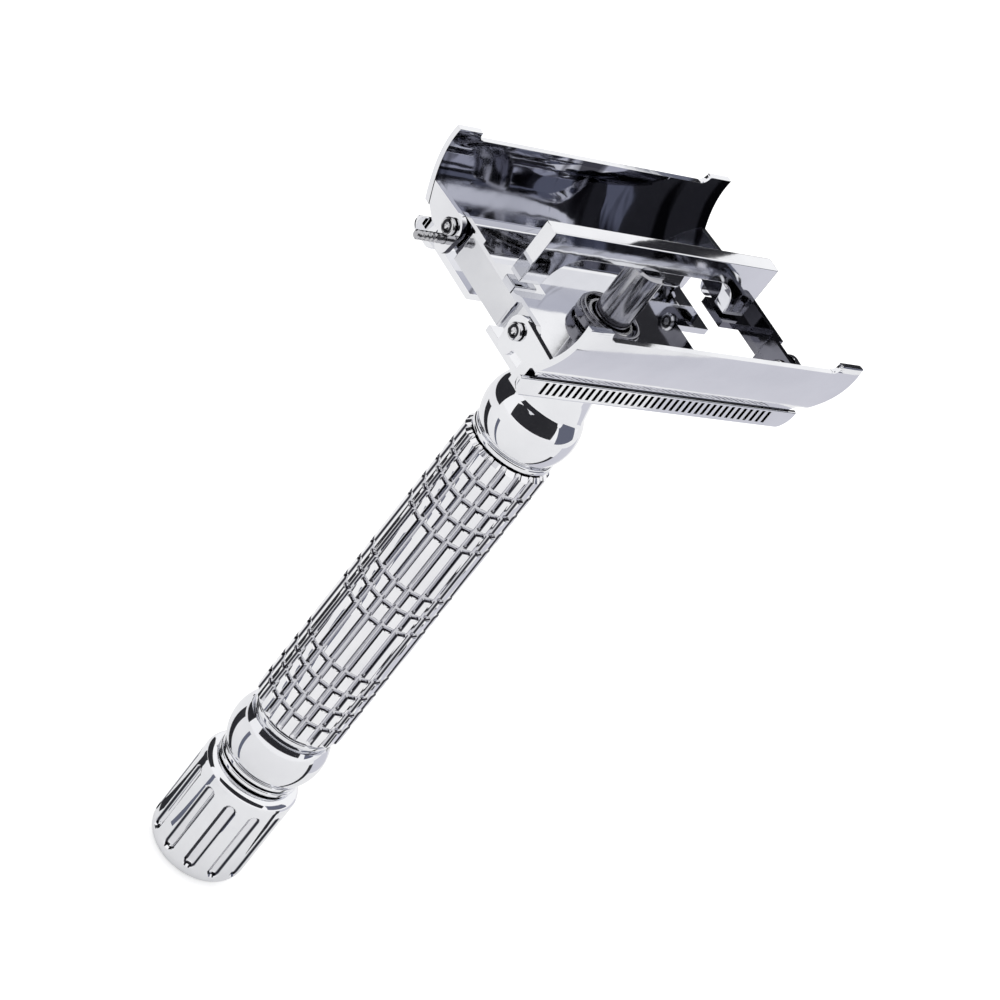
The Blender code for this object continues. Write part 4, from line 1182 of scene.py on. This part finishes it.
def add_card(name, direction, distance, size, color, seen_from):
    """A standing card that faces the head."""
    x, y = size[0] / 2, size[1] / 2
    card = stage_card(name, [(-x, -y, 0.0), (x, -y, 0.0), (x, y, 0.0), (-x, y, 0.0)], color)
    towards = Vector(direction).normalized()
    card.location = Vector(seen_from) + towards * distance
    card.rotation_euler = (-towards).to_track_quat("Z", "Y").to_euler()


def add_wedge(name, azimuth, half_angle, near, far, color):
    """A card lying on the floor, widening away from the razor's foot in one direction."""
    corners = []
    for reach, turn in ((near, -half_angle), (far, -half_angle), (far, half_angle), (near, half_angle)):
        angle = math.radians(azimuth + turn)
        corners.append((reach * math.cos(angle), reach * math.sin(angle), wedge_height))
    stage_card(name, corners, color)


world = bpy.data.worlds.new("studio")
scene.world = world
world.use_nodes = True
world.node_tree.nodes["Background"].inputs["Color"].default_value = (1.0, 1.0, 1.0, 1.0)
world.node_tree.nodes["Background"].inputs["Strength"].default_value = 1.05

floor_glow = 0.12
floor_glow_seen = 0.35     # more that only the camera sees, so that the floor is as white as the sky
floor_mesh = bpy.data.meshes.new("floor")
floor_mesh.from_pydata([(-3.0, -3.0, 0.0), (3.0, -3.0, 0.0), (3.0, 3.0, 0.0), (-3.0, 3.0, 0.0)],
                       [], [(0, 1, 2, 3)])
white_floor = make_stage_material("white_floor", (1.0, 1.0, 1.0), 0.0, 0.8)
floor_tree = white_floor.node_tree
seen = add_node(floor_tree, "ShaderNodeLightPath").outputs["Is Camera Ray"]
floor_tree.links.new(calculate(floor_tree, "MULTIPLY_ADD", seen, floor_glow_seen, floor_glow),
                     floor_tree.nodes["Principled BSDF"].inputs["Emission Strength"])
floor_mesh.materials.append(white_floor)
floor = bpy.data.objects.new("floor", floor_mesh)
scene.collection.objects.link(floor)

wedge_height = 0.4 * MM
black = (0.012, 0.012, 0.016)
slate = (0.13, 0.14, 0.19)
lilac = (0.66, 0.66, 0.72)
for name, direction, distance, size, color, seen_from in (
    ("card_back", (-0.33, 0.945, -0.03), 0.35, (0.50, 0.40), black, (0.0, 0.0, 0.08)),
    ("card_camera", (-0.62, -0.725, 0.38), 0.30, (0.80, 0.24), black, (0.0, 0.0, 0.08)),
    ("card_front_right", (0.70, -0.67, 0.10), 0.26, (0.22, 0.16), slate, (0.0, 0.0, 0.095)),
    ("card_high_right", (0.70, 0.52, 0.49), 0.20, (0.012, 0.16), black, (0.0, 0.0, 0.09)),
    ("card_high_back", (0.60, 0.70, 0.40), 0.22, (0.10, 0.008), slate, (0.0, 0.0, 0.09)),
    ("card_beside_right", (1.0, 0.0, 0.0), 0.033, (0.040, 0.022), black, (0.0, 0.010, 0.0955)),
    ("card_overhead", (0.10, 0.35, 0.93), 0.30, (0.10, 0.04), slate, (0.0, 0.0, 0.09)),
):
    add_card(name, direction, distance, size, color, seen_from)
add_wedge("wedge_left", 117.0, 11.0, 0.009, 0.16, black)
add_wedge("wedge_right", -43.0, 4.5, 0.009, 0.125, black)
add_wedge("wedge_near_left", 165.0, 4.0, 0.012, 0.16, slate)
add_wedge("wedge_far_right", -18.0, 21.0, 0.045, 0.28, lilac)

camera_data = bpy.data.cameras.new("camera")
camera_data.lens = 131.28
camera_data.sensor_width = 36.0
camera = bpy.data.objects.new("camera", camera_data)
camera_right = (0.71222, -0.44366, 0.54397)
camera_up = (-0.06861, 0.72723, 0.68296)
camera_back = (-0.69860, -0.52374, 0.48751)
camera_place = (-281.12 * MM, -214.43 * MM, 261.23 * MM)
camera.matrix_world = Matrix([*zip(camera_right, camera_up, camera_back, camera_place), (0.0, 0.0, 0.0, 1.0)])
scene.collection.objects.link(camera)
scene.camera = camera
scene.view_settings.view_transform = "Standard"
